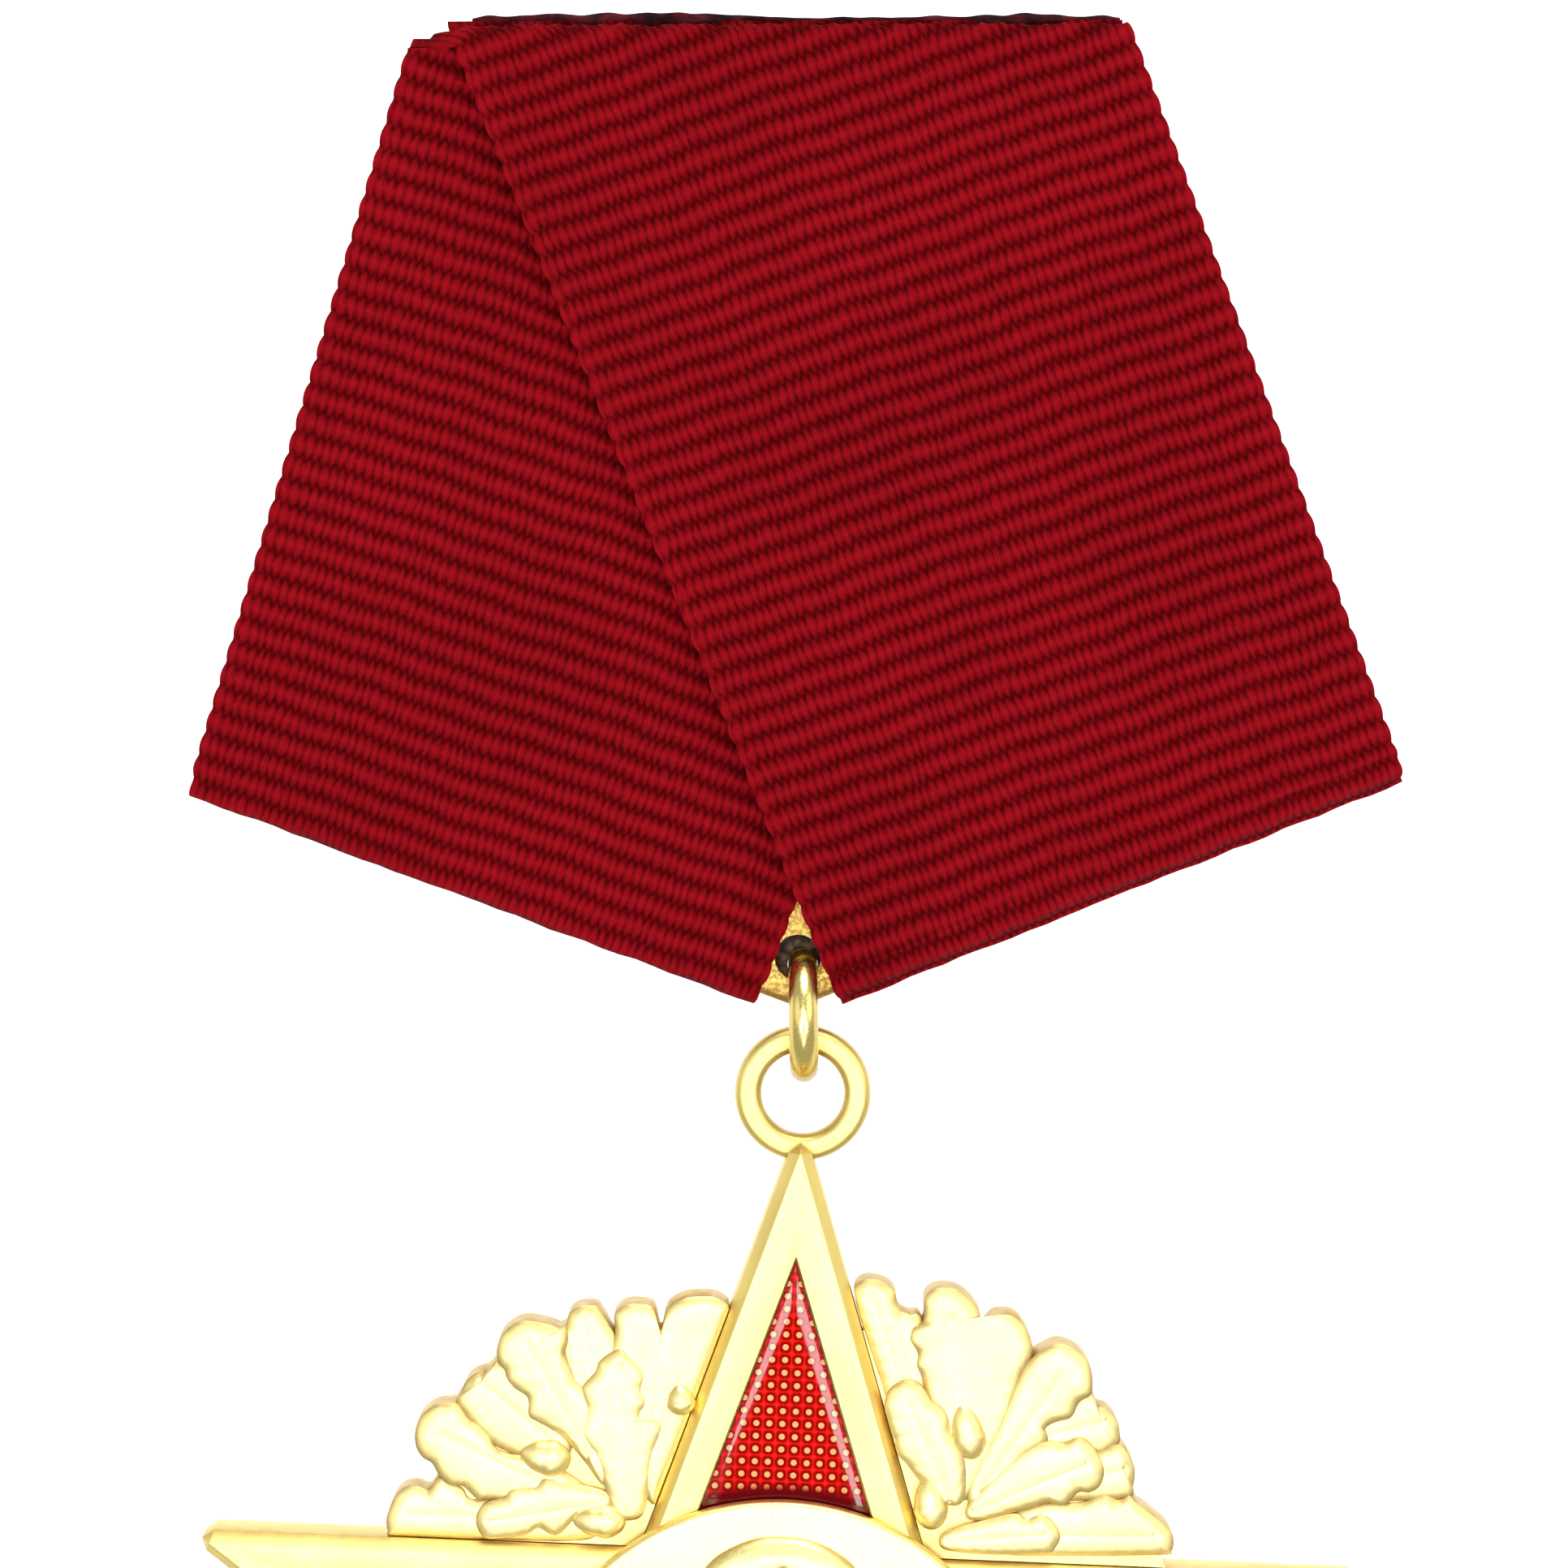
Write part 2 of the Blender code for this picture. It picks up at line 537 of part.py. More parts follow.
def make_spray(name, outline, leaves, acorns, turn, frame):
    def placed(shape):
        return dropped(turned(shape, turn))

    spray = prism(name, placed(outline), LEAF_BACK, LEAF_FRONT, "y", "gold", frame)
    for i, (front, leaf) in enumerate(leaves):
        raised = prism(f"{name}_leaf_{i}", placed(leaf), -0.3, front, "y", None, frame)
        boolean(spray, raised, "UNION")
    for i, (x, z, long, short, tilt) in enumerate(acorns):
        spot = placed([(x, z)])[0]
        centre = (spot[0], LEAF_FRONT, spot[1])
        acorn = ball(f"{name}_acorn_{i}", centre, (long, short, 0.45), tilt + turn, frame)
        boolean(spray, acorn, "UNION")


def make_sprays(frame):
    kinds = {"a": (SPRAY_A, LEAVES_A, ACORNS_A), "b": (SPRAY_B, LEAVES_B, ACORNS_B)}
    places = (("upper_left", "a", 0), ("upper_right", "b", 0), ("lower_left", "a", 72),
              ("lower_right", "b", -72), ("bottom", "a", 144))
    for name, kind, turn in places:
        make_spray(f"leaves_{name}", *kinds[kind], turn, frame)


def make_medallion(frame):
    back = STAR_FRONT - GAP / 2
    front = back - DISC_THICK
    rim = dropped(circle(DISC_RADIUS, steps=48))
    inner = dropped(circle(DISC_RADIUS - 0.3, steps=48))
    disc = layers("medallion_disc", [(back, rim), (front + 0.25, rim), (front, inner)], "y", "gold", frame)
    middle = (0.0, -STAR_DROP)
    cut_round(disc, "stud_socket", middle, STUD_RADIUS + GAP, back - 0.4, 5, "y", frame)
    half = EMBLEM_HALF + [(-x, z) for x, z in reversed(EMBLEM_HALF[1:])]
    small = [(x * 0.93, z * 0.96) for x, z in half]
    base = front - GAP / 2
    rings = [(base, dropped(half)), (base - EMBLEM_THICK * 0.5, dropped(half)),
             (base - EMBLEM_THICK, dropped(small))]
    layers("medallion_emblem", rings, "y", "gold", frame)
    shank, head = circle(STUD_RADIUS, middle), circle(STUD_HEAD, middle)
    seat = STAR_BACK - STUD_SINK + GAP
    rings = [(back - 0.3, shank), (seat, shank), (seat, head), (STAR_BACK - GAP, head)]
    layers("medallion_rivet", rings, "y", "gold", frame)


def main():
    clear_scene()
    make_plate()
    make_ribbon()
    make_bead()
    make_bar()
    make_hinge()
    make_needle()
    make_catch()
    make_ring()
    frame = joint_frame("star_swing", (RING_X, PLATE_Y, PIVOT_Z), math.radians(STAR_LEAN_DEG))
    make_star(frame)
    make_sprays(frame)
    make_medallion(frame)


main()
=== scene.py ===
"""Service medal: an enamelled star on a folded grosgrain ribbon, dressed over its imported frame."""

import math

import bpy
import numpy as np
from bpy.props import FloatProperty, FloatVectorProperty, IntProperty, PointerProperty
from mathutils import Matrix, Vector, noise


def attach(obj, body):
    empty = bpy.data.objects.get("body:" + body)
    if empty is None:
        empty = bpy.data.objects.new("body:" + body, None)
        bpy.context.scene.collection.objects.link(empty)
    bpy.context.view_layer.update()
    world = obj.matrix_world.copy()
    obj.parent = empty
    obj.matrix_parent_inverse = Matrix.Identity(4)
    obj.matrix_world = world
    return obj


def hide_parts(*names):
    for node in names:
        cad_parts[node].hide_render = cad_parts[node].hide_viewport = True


bl_info = {
    "name": "Service medal",
    "version": (1, 0, 0),
    "blender": (4, 5, 0),
    "location": "3D View > Sidebar > Medal",
    "description": "Builds the ribbon, ring, star, enamel, leaves and pin of a service medal",
    "category": "Add Mesh",
}

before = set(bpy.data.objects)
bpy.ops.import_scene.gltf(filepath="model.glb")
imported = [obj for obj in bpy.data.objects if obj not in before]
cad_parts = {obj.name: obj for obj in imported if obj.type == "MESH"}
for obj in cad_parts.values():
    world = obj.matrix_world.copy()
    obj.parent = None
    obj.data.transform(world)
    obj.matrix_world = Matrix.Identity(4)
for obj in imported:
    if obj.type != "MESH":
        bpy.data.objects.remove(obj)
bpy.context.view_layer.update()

# Lengths are in mm unless a name or comment says otherwise: x to the right, y to the back, z up.
MM = 0.001

# The plate, and the strip folded round it. A layer is the distance of the strip's middle from the plate's.
PLATE_Y = -4.0
HOLE_Z = -28.55
RIBBON_THICK = 0.45
LEFT_LAYER = 0.725
RIGHT_LAYER = 1.275
BAND_RISE = math.radians(21.1)
LOWER_X = 1.8
LOWER_Z = -30.57
TOP_Z = 9.4
TOP_FALL = 0.27
CORNER_PRESS = 0.75
CORNER_REACH = 0.8
# How far the bands' outer edges are drawn sideways, over a height above the lower folds.
LEFT_PULL = 2.1
RIGHT_PULL = 0.75
PULL_HEIGHT = 34.0
PULL_LIMIT = 1.3

# Rows and columns of the ribbon's mesh, and how far its right tail reaches past the top fold.
RIBBON_COLUMNS = 34
ROWS_PER_CORD = 8
TAIL_ROWS = 190
LEFT_FOLD_ROWS = 18
RIGHT_FOLD_ROWS = 28
TAIL_BEYOND = 0.78

# Relief of the cloth: how full a cord is, how its edges swell, and the wear on the lower folds.
CORD_FULLNESS = 0.75
EDGE_LEVEL = 0.75
EDGE_SHARE = 0.35
EDGE_WIDTH = 0.5
SELVEDGE_RISE = 0.03
SELVEDGE_AT = 0.5
SELVEDGE_WIDTH = 0.45
EDGE_SWELL = 0.17
EDGE_TAKE_IN = 0.06
WORN_TAKE_IN = 0.13
WORN_RISE = 0.035
WORN_WIDTH = 1.2
LEFT_WORN_AT = -1.1
RIGHT_WORN_AT = 2.0

# The sealed end along the tail. A knob is given by its x, its size and its spread.
BEAD_LEFT = -12.9
BEAD_LENGTH = 26.6
BEAD_STEPS = 150
BEAD_SIDES = 16
BEAD_RISE = 0.75
BEAD_RADIUS = 0.27
BEAD_LUMP = 0.16
BEAD_KNOBS = ((-12.3, 0.09, 0.5), (13.1, 0.054, 0.4))
BEAD_TALL = 1.1
BEAD_THIN = 0.6
BEAD_THIN_AT = 2.5
BEAD_THIN_REACH = 5.5

# The jump ring, which hangs in the plate's hole and carries the star.
RING_X = 0.2
RING_PIVOT_Z = -33.2
RING_RADIUS = 2.2
RING_WIRE = 0.6
RING_STEPS = 112
# The blade that parts the ring's wire at the back: its size, its slant in radians and its height.
SAW_SIZE = (2.0, 2.0, 0.05)
SAW_SLANT = 0.35
SAW_RISE = 0.5

# The star, in its own frame about its centre. Arms are counted to the left from the top.
STAR_DROP = 28.57
STAR_LEAN_DEG = 3.13
STAR_TIP = 26.6
STAR_BLUNT = 25.3
STAR_FRONT = -1.5
STAR_BACK = 0.9
BEVEL_DEPTH = 0.5
TIP_ROOF = 0.8
ARMS = 5
ARM_STEP_DEG = 72
ARM_NAMES = ("top", "left", "lower_left", "lower_right", "right")
ARM_HALF = math.radians(18)
NOTCH_AT = math.radians(126)
ARM_NORMAL = math.radians(162)
STAR_INNER = STAR_TIP * math.sin(ARM_HALF) / math.sin(math.radians(54))
ARM_SIDE = STAR_TIP * math.sin(ARM_HALF) + 0.04

# The loop on the star's top point: a cast ring with a rounded square section.
EYELET_RISE = 27.52
LOOP_RADIUS = 2.275
LOOP_WIDE = 1.09
LOOP_DEEP = 1.04
LOOP_CORNER = 0.38
LOOP_SEAT = 0.625
LOOP_SEAT_Y = -0.63

# The sunk fields, and the enamel in them. The enamel's rise at its walls is given by inset and lift.
FIELD_APEX = 20.86
FIELD_BASE = 9.5
FIELD_HALF = math.radians(18.6)
FIELD_FLOOR = -0.85
ENAMEL_GAP = 0.06
ENAMEL_FRONT = -1.30
ENAMEL_STEPS = 24
ENAMEL_RISE = ((0.0, 0.17), (0.04, 0.13), (0.1, 0.104), (0.22, 0.076), (0.4, 0.05), (0.6, 0.03),
               (0.8, 0.016), (1.0, 0.007), (1.2, 0.002), (1.4, 0.0))
DOT_PITCH = 0.54

# The medallion's disc, and the stud that holds it from behind.
DISC_RADIUS = 10.65
DISC_THICK = 0.6
DISC_BACK = STAR_FRONT - 0.05
DISC_STEPS = 160
DISC_ROUND = 0.2
STUD_SHANK = 1.25
STUD_HEAD = 2.3
STUD_CLEAR = 0.1
STUD_HEAD_Y = (0.3, 0.8)
STUD_ROUND = 0.08
# How far a cutter reaches through a piece, and a hair's breadth to tell the points of one end apart.
THROUGH = 5.0
HAIR = 0.01

# The sprays: depths of their ground, steps from leaf to leaf, and how much painted shade the leaves' backs
# and the ground take.
SPRAY_FRONT = -0.86
SPRAY_BACK = 0.66
GROUND_REACH = 18.0
LEAF_BACK = 0.64
LEAF_BACK_STEP = 0.006
LEAF_STEP = 0.075
LEAF_DOME = 0.2
LEAF_GROOVE = 0.04
LEAF_VEIN = 0.018
LEAF_MARGIN = 0.34
MIDRIB_WIDTH = 0.16
VEINS = 7.0
VEIN_SLANT = 0.8
ACORN_Y = -1.12
ACORN_DEEP = 0.42
CUP_EDGE = -0.05
BACK_SHADE = 0.75
GROUND_SHADE = 0.3
# Places of a leaf's rings, as shares of the way from its rim to its midrib.
LEAF_SHARES = (0.0, 0.012, 0.035, 0.075, 0.14, 0.24, 0.38, 0.55, 0.72, 0.86, 0.95, 0.985)

# The oak leaf in relief on the disc.
EMBLEM_POINTS = 420
EMBLEM_STALK = (0.0, -8.2)
EMBLEM_TIP = (0.0, 8.4)
EMBLEM_BACK = DISC_BACK - 0.58
EMBLEM_FRONT = DISC_BACK - 0.8
EMBLEM_DOME = 0.42
EMBLEM_GROOVE = 0.12
EMBLEM_VEIN = 0.09

# Body and rounding of the plain metal parts.
PIN_PIECES = {
    "mount_plate": ("mount", 0.08),
    "pin_bar": ("mount", 0.12),
    "pin_rivet_left": ("mount", 0.12),
    "pin_rivet_right": ("mount", 0.12),
    "hinge_bracket": ("mount", 0.08),
    "hinge_rivet": ("mount", 0.08),
    "needle": ("needle_body", 0.05),
    "catch_body": ("mount", 0.08),
    "catch_roller": ("roller_body", 0.08),
}
BUSH_RADIUS = 1.2
BUSH_Y = (PLATE_Y + 0.41, PLATE_Y + 0.49)
BUSH_OPENING = (0.62, 0.67)
BUSH_OPENING_DROP = 0.38

# Roughness of the metals, and colours of the finishes that are not settings.
SATIN = 0.42
BRUSHED = 0.32
BRIGHT = 0.25
# Brown of the painted shade in the gilding.
SHADE_ON_GOLD = (0.50, 0.31, 0.09, 1.0)
PLATE_STAIN = (0.54, 0.35, 0.085, 1.0)
PLATE_BRASS = (0.77, 0.55, 0.17, 1.0)
PLATE_PIT = (0.45, 0.28, 0.08, 1.0)
# Dark browns of the bush that paints the shade seen through the plate's hole.
BUSH_SHADE_BLACK = (0.012, 0.007, 0.004, 1.0)
BUSH_SHADE_BROWN = (0.07, 0.036, 0.014, 1.0)
STEEL_DARK = (0.42, 0.42, 0.41, 1.0)
STEEL_LIGHT = (0.72, 0.72, 0.70, 1.0)
CHAR_BLACK = (0.010, 0.002, 0.003, 1.0)
CHAR_RED = (0.07, 0.004, 0.008, 1.0)
CLOTH_FADED = (0.88, 0.84, 0.84, 1.0)
WHITE = (1.0, 1.0, 1.0, 1.0)
DOT_GOLD = (0.92, 0.30, 0.12, 1.0)
RING_DEEP = (0.11, 0.0002, 0.0001, 1.0)
RING_RED = (0.29, 0.0006, 0.0002, 1.0)
# Painted shade on the enamel by its walls and the medallion.
PAINTED_SHADE_RED = (0.10, 0.0006, 0.002, 1.0)
STAGE_WHITE = (0.9, 0.9, 0.9, 1.0)

# The stage, in metres and watts: floor and wall, and each light's place, width and power.
FLOOR_Z = -0.45
FLOOR_SIZE = 8.0
FLOOR_GLOW = 0.35
WALL_Y = 1.3
WALL_SIZE = 16.0
WALL_GLOW = 0.56
WORLD_COLOUR = (1.0, 0.99, 0.97, 1.0)
WORLD_STRENGTH = 0.42
LIGHT_AIM = (0.0, 0.0, -0.03)
LIGHTS = {
    "front_left_light": ((-0.27, -0.78, -0.19), 0.3, 1.65),
    "front_right_light": ((0.27, -0.78, -0.19), 0.3, 1.65),
    "front_upper_light": ((0.0, -0.8, 0.07), 0.3, 1.65),
    "front_lower_light": ((0.0, -0.74, -0.52), 0.3, 1.1),
    "left_light": ((-0.62, -0.5, 0.12), 0.6, 0.6),
    "right_light": ((0.62, -0.5, 0.2), 0.6, 1.4),
    "left_fill": ((-0.7, 0.12, 0.0), 0.5, 0.25),
    "right_fill": ((0.7, 0.12, 0.0), 0.5, 0.25),
    "top_light": ((0.12, -0.32, 0.72), 0.6, 5.0),
}
CAMERA_TARGET = (-0.000484, -0.0055, -0.02123)

# Name of the UV map that holds places on a piece's own surface, in mm.
SURFACE = "surface"
# Sockets of a Mix node that mixes colours: its share, its two colours and its result.
MIX_INPUTS = (0, 6, 7)
MIX_RESULT = 2

# Leaves of each spray from the lowest layer up: layer, stalk end, tip and outline about the star's centre.
SPRAY_A = (
    (0, (-9.02, 9.29), (-15.80, 9.21), (
        (-16.2, 8.16), (-16.52, 8.42), (-16.61, 8.97), (-16.45, 9.53), (-16.23, 10.02), (-15.84, 10.34),
        (-15.34, 10.4), (-14.89, 10.28), (-14.47, 10.85), (-13.96, 10.67), (-13.47, 10.41), (-12.98, 9.95),
        (-11.1, 10.31), (-8.38, 10.08), (-7.97, 8.51), (-12.38, 8.25),
    )),
    (1, (-9.83, 12.59), (-12.96, 15.03), (
        (-13.87, 14.04), (-13.69, 14.46), (-13.47, 14.95), (-13.14, 15.27), (-12.65, 15.46),
        (-12.19, 15.83), (-11.29, 15.46), (-9.89, 14.13), (-8.98, 12.63), (-9.46, 11.75), (-11.15, 11.85),
        (-12.53, 12.48), (-13.41, 13.37),
    )),
    (1, (-8.02, 13.87), (-8.61, 17.96), (
        (-7.62, 17.53), (-7.95, 18.06), (-8.19, 18.33), (-8.87, 18.3), (-9.29, 18.0), (-9.45, 17.45),
        (-9.66, 16.89), (-9.42, 15.19), (-8.69, 13.67), (-7.67, 13.55), (-7.06, 15.29), (-7.22, 16.83),
    )),
    (2, (-5.77, 12.59), (-5.46, 17.41), (
        (-2.73, 18.63), (-3.33, 18.94), (-4.0, 18.95), (-4.67, 18.81), (-5.26, 18.38), (-5.49, 17.41),
        (-5.8, 18.35), (-6.35, 18.51), (-7.01, 18.44), (-7.44, 18.01), (-7.38, 17.16), (-7.66, 15.95),
        (-7.36, 14.24), (-6.59, 11.88), (-5.68, 10.19), (-5.18, 10.55), (-4.13, 13.87), (-3.22, 16.66),
        (-2.78, 18.04),
    )),
    (2, (-9.41, 10.55), (-14.58, 12.74), (
        (-15.5, 12.19), (-15.52, 12.87), (-15.27, 13.47), (-14.78, 13.87), (-14.28, 13.99), (-13.84, 14.01),
        (-13.59, 13.71), (-13.27, 13.31), (-12.83, 13.09), (-12.45, 12.73), (-12.23, 12.29), (-11.78, 12.0),
        (-10.14, 11.72), (-8.41, 10.76), (-8.2, 9.91), (-9.39, 10.03), (-11.09, 9.96), (-12.44, 9.97),
        (-12.78, 9.93), (-13.13, 10.22), (-13.48, 10.51), (-14.05, 10.56), (-14.47, 10.92), (-14.79, 11.43),
        (-15.21, 11.68),
    )),
    (3, (-8.18, 11.98), (-11.01, 16.84), (
        (-9.45, 17.45), (-9.68, 17.34), (-10.08, 17.49), (-11.04, 17.62), (-11.63, 17.42), (-12.09, 16.96),
        (-12.27, 16.27), (-12.14, 15.76), (-11.9, 15.5), (-11.78, 15.03), (-11.4, 14.66), (-10.95, 14.37),
        (-10.89, 13.61), (-10.19, 13.2), (-9.33, 12.72), (-8.44, 11.79), (-7.57, 10.8), (-7.27, 11.84),
        (-7.83, 13.54), (-8.39, 14.82), (-8.91, 15.21), (-9.18, 15.75), (-9.43, 16.28), (-9.32, 16.91),
    )),
    (4, (-6.60, 9.74), (-7.10, 16.14), (
        (-7.18, 16.62), (-7.94, 16.11), (-8.15, 15.59), (-8.64, 14.98), (-8.65, 14.54), (-8.5, 14.03),
        (-8.77, 13.16), (-8.55, 12.65), (-8.04, 11.91), (-7.57, 10.8), (-7.07, 9.52), (-5.99, 9.56),
        (-5.7, 10.87), (-5.55, 12.26), (-5.2, 13.58), (-5.98, 13.62), (-6.16, 13.89), (-5.91, 14.42),
        (-6.13, 14.92), (-6.02, 15.4), (-6.24, 15.94), (-6.77, 16.44),
    )),
    (4, (-7.53, 10.18), (-12.41, 9.15), (
        (-12.77, 9.54), (-12.85, 9.03), (-12.66, 8.58), (-12.31, 8.36), (-11.37, 8.46), (-10.7, 8.63),
        (-10.23, 8.9), (-9.68, 8.64), (-9.28, 8.76), (-8.53, 9.52), (-7.36, 9.84), (-7.45, 10.53),
        (-8.92, 10.88), (-9.42, 10.93), (-10.05, 11.04), (-10.44, 10.71), (-11.38, 10.57), (-11.7, 10.17),
        (-12.44, 9.9),
    )),
)
SPRAY_B = (
    (0, (4.96, 14.76), (3.20, 19.48), (
        (2.49, 19.39), (2.72, 19.81), (3.22, 19.94), (3.8, 19.79), (4.18, 19.46), (4.35, 18.79),
        (4.8, 18.53), (5.31, 18.39), (5.73, 16.51), (5.66, 14.46), (4.84, 13.73), (4.31, 14.23),
        (3.73, 15.75), (3.09, 17.43), (2.7, 18.51),
    )),
    (0, (10.11, 13.44), (13.27, 14.43), (
        (12.37, 15.6), (12.81, 15.03), (13.25, 14.88), (13.64, 14.45), (13.8, 13.94), (13.76, 13.42),
        (12.84, 12.87), (10.81, 12.96), (10.09, 13.61), (10.73, 14.5),
    )),
    (1, (11.21, 11.59), (14.05, 12.40), (
        (13.76, 13.42), (14.19, 13.09), (14.49, 12.42), (14.48, 11.73), (14.35, 11.2), (12.59, 10.97),
        (11.23, 11.07), (11.51, 12.3), (12.83, 13.03),
    )),
    (2, (9.95, 9.47), (15.54, 9.64), (
        (14.34, 11.28), (14.62, 11.04), (15.33, 10.56), (16.04, 9.97), (16.26, 9.46), (16.18, 8.98),
        (15.75, 8.82), (11.35, 8.6), (8.97, 8.68), (9.24, 10.13), (10.9, 10.82), (12.26, 10.88),
        (13.26, 11.27), (13.87, 11.08),
    )),
    (2, (7.10, 12.45), (6.65, 18.61), (
        (4.84, 17.5), (4.95, 17.96), (5.41, 18.29), (5.41, 19.24), (5.76, 19.64), (6.26, 19.73),
        (6.77, 19.67), (7.29, 19.33), (7.73, 18.76), (7.79, 18.11), (8.24, 18.61), (8.67, 18.73),
        (9.18, 18.68), (9.6, 18.29), (9.9, 17.72), (10.0, 17.11), (9.58, 15.99), (9.07, 13.91),
        (7.84, 11.1), (6.82, 11.06), (6.03, 13.78), (5.45, 15.88), (5.16, 16.42), (5.24, 16.91),
        (4.96, 17.27),
    )),
    (3, (8.01, 11.12), (11.31, 16.40), (
        (12.55, 16.12), (12.51, 15.5), (12.05, 15.17), (11.74, 14.51), (11.08, 14.27), (10.69, 13.98),
        (10.78, 13.43), (9.87, 12.57), (8.71, 10.8), (7.69, 10.59), (7.64, 11.78), (8.71, 14.23),
        (9.56, 16.33), (10.13, 17.11), (10.43, 17.3), (10.92, 17.56), (11.44, 17.55), (11.95, 17.29),
        (12.38, 16.79),
    )),
    (4, (7.70, 10.34), (12.51, 12.68), (
        (10.85, 13.47), (11.46, 13.43), (12.12, 13.69), (12.65, 13.37), (13.09, 12.71), (13.21, 12.2),
        (13.06, 11.67), (12.64, 11.38), (12.17, 11.36), (11.65, 10.81), (10.9, 10.89), (10.41, 10.7),
        (9.57, 10.42), (8.4, 10.03), (7.54, 10.13), (7.84, 11.1), (9.13, 12.54), (10.11, 13.26),
    )),
    (5, (6.91, 10.73), (4.78, 15.27), (
        (4.75, 15.79), (4.26, 15.53), (4.0, 15.07), (3.96, 14.46), (4.13, 13.77), (4.43, 13.3),
        (4.52, 12.76), (5.01, 12.23), (5.51, 11.63), (6.5, 10.71), (7.35, 10.74), (7.46, 11.95),
        (7.24, 12.97), (6.77, 13.64), (6.6, 14.32), (6.32, 14.73), (5.9, 14.98), (5.62, 15.41),
        (5.27, 15.75),
    )),
    (5, (6.74, 9.09), (10.96, 9.58), (
        (9.57, 10.38), (10.08, 10.16), (10.59, 10.36), (11.0, 10.27), (11.35, 9.88), (11.51, 9.44),
        (11.33, 9.01), (10.93, 8.75), (8.64, 8.59), (6.76, 8.72), (6.51, 9.22), (7.06, 9.62), (8.23, 10.02),
    )),
)
# Acorns of each spray: x, z, half length, half width and lie in degrees.
ACORNS_A = ((-10.01, 11.9, 1.0, 0.72, 172.0), (-7.67, 9.3, 1.05, 0.66, 180.0),
            (-4.53, 14.54, 0.62, 0.56, 100.0))
ACORNS_B = ((6.04, 10.56, 1.05, 0.66, 98.0), (7.47, 13.67, 1.13, 0.66, 105.0))
# The sprays: place, kind and turn to the left in degrees.
SPRAYS = (("upper_left", "a", 0), ("upper_right", "b", 0), ("lower_left", "a", 72),
          ("lower_right", "b", -72), ("bottom", "a", 144))
# Half outline of the oak leaf on the medallion, from tip to stalk.
EMBLEM_HALF = (
    (0.0, 9.2), (1.1, 9.1), (2.1, 8.7), (2.95, 8.1), (3.5, 7.25), (3.55, 6.3), (3.1, 5.45), (2.3, 4.9),
    (3.4, 4.65), (4.7, 3.95), (5.2, 2.8), (4.75, 1.65), (3.5, 0.95), (2.4, 0.7), (3.4, 0.2), (4.4, -0.7),
    (4.5, -1.8), (3.7, -2.8), (2.2, -3.2), (2.7, -3.85), (2.95, -4.8), (2.4, -5.75), (1.2, -6.2),
    (0.65, -6.9), (0.5, -8.4),
)


class MedalRibbonSettings(bpy.types.PropertyGroup):
    """Sizes and colours of the ribbon"""

    width: FloatProperty(name="Width", description="Woven width of the strip", default=25.0 * MM,
                         min=20.0 * MM, max=30.0 * MM, unit="LENGTH")
    thickness: FloatProperty(name="Thickness", description="Thickness of the cloth between its cords",
                             default=0.26 * MM, unit="LENGTH")
    rib_pitch: FloatProperty(name="Rib pitch", description="Distance between cords", default=1.02 * MM,
                             unit="LENGTH")
    rib_height: FloatProperty(name="Rib height", description="Rise of a cord over the cloth",
                              default=0.115 * MM, unit="LENGTH")
    thread_pitch: FloatProperty(name="Thread pitch", description="Distance between warp threads",
                                default=0.35 * MM, unit="LENGTH")
    tooth: FloatProperty(name="Tooth", description="How far threads reach between those of the next cord",
                         default=0.22, min=0.0, max=1.0, subtype="FACTOR")
    # Painted light: the crest colour is the cloth's lit red, the trough colour the painted shade between
    # the cords.
    colour: FloatVectorProperty(name="Crest", description="Colour on the cords", subtype="COLOR",
                                default=(0.225, 0.0028, 0.007))
    shade: FloatVectorProperty(name="Trough", description="Colour between the cords", subtype="COLOR",
                               default=(0.055, 0.0, 0.0006))


class MedalStarSettings(bpy.types.PropertyGroup):
    """Sizes and colours of the star and its metals"""

    bevel: FloatProperty(name="Bevel", description="Width of the bevel along the arms", default=0.42 * MM,
                         unit="LENGTH")
    soft_edge: FloatProperty(name="Soft edge", description="Polished rounding of the star's edges",
                             default=0.07 * MM, unit="LENGTH")
    leaf_points: IntProperty(name="Leaf points", description="Points round one leaf", default=132)
    gold: FloatVectorProperty(name="Gilt", description="Colour of the gilding", subtype="COLOR",
                              default=(0.94, 0.76, 0.25))
    # Painted highlight: a paler copy of the gilt for the leaves and the medallion, to whiten their bright
    # faces.
    highlight_gold: FloatVectorProperty(name="Relief", description="Colour of the rubbed relief",
                                     subtype="COLOR", default=(0.95, 0.79, 0.34))
    enamel: FloatVectorProperty(name="Enamel", description="Colour of the enamel", subtype="COLOR",
                                default=(0.54, 0.010, 0.006))


class MedalStageSettings(bpy.types.PropertyGroup):
    """Place and framing of the camera"""

    distance: FloatProperty(name="Distance", description="From the lens to the ribbon", default=0.2,
                            unit="LENGTH")
    view: FloatProperty(name="View", description="Height of the framed square", default=0.0644,
                        unit="LENGTH")
    elevation: FloatProperty(name="Elevation", description="Height angle of the camera",
                             default=math.radians(5.0), subtype="ANGLE")
    roll: FloatProperty(name="Roll", description="Turn of the picture", default=math.radians(0.7),
                        subtype="ANGLE")


SETTINGS = {"ribbon": MedalRibbonSettings, "star": MedalStarSettings, "stage": MedalStageSettings}


def settings(kind):
    return getattr(bpy.context.scene, "medal_" + kind)


def in_mm(length):
    """A length that is set in metres, in mm."""
    return round(length / MM, 5)


def fade(values, start, end):
    """0 up to start, 1 from end on, and even between them."""
    return np.clip((values - start) / (end - start), 0.0, 1.0)


def hump(values, width):
    """A smooth rise to 1 about zero."""
    return np.exp(-((values / width) ** 2))


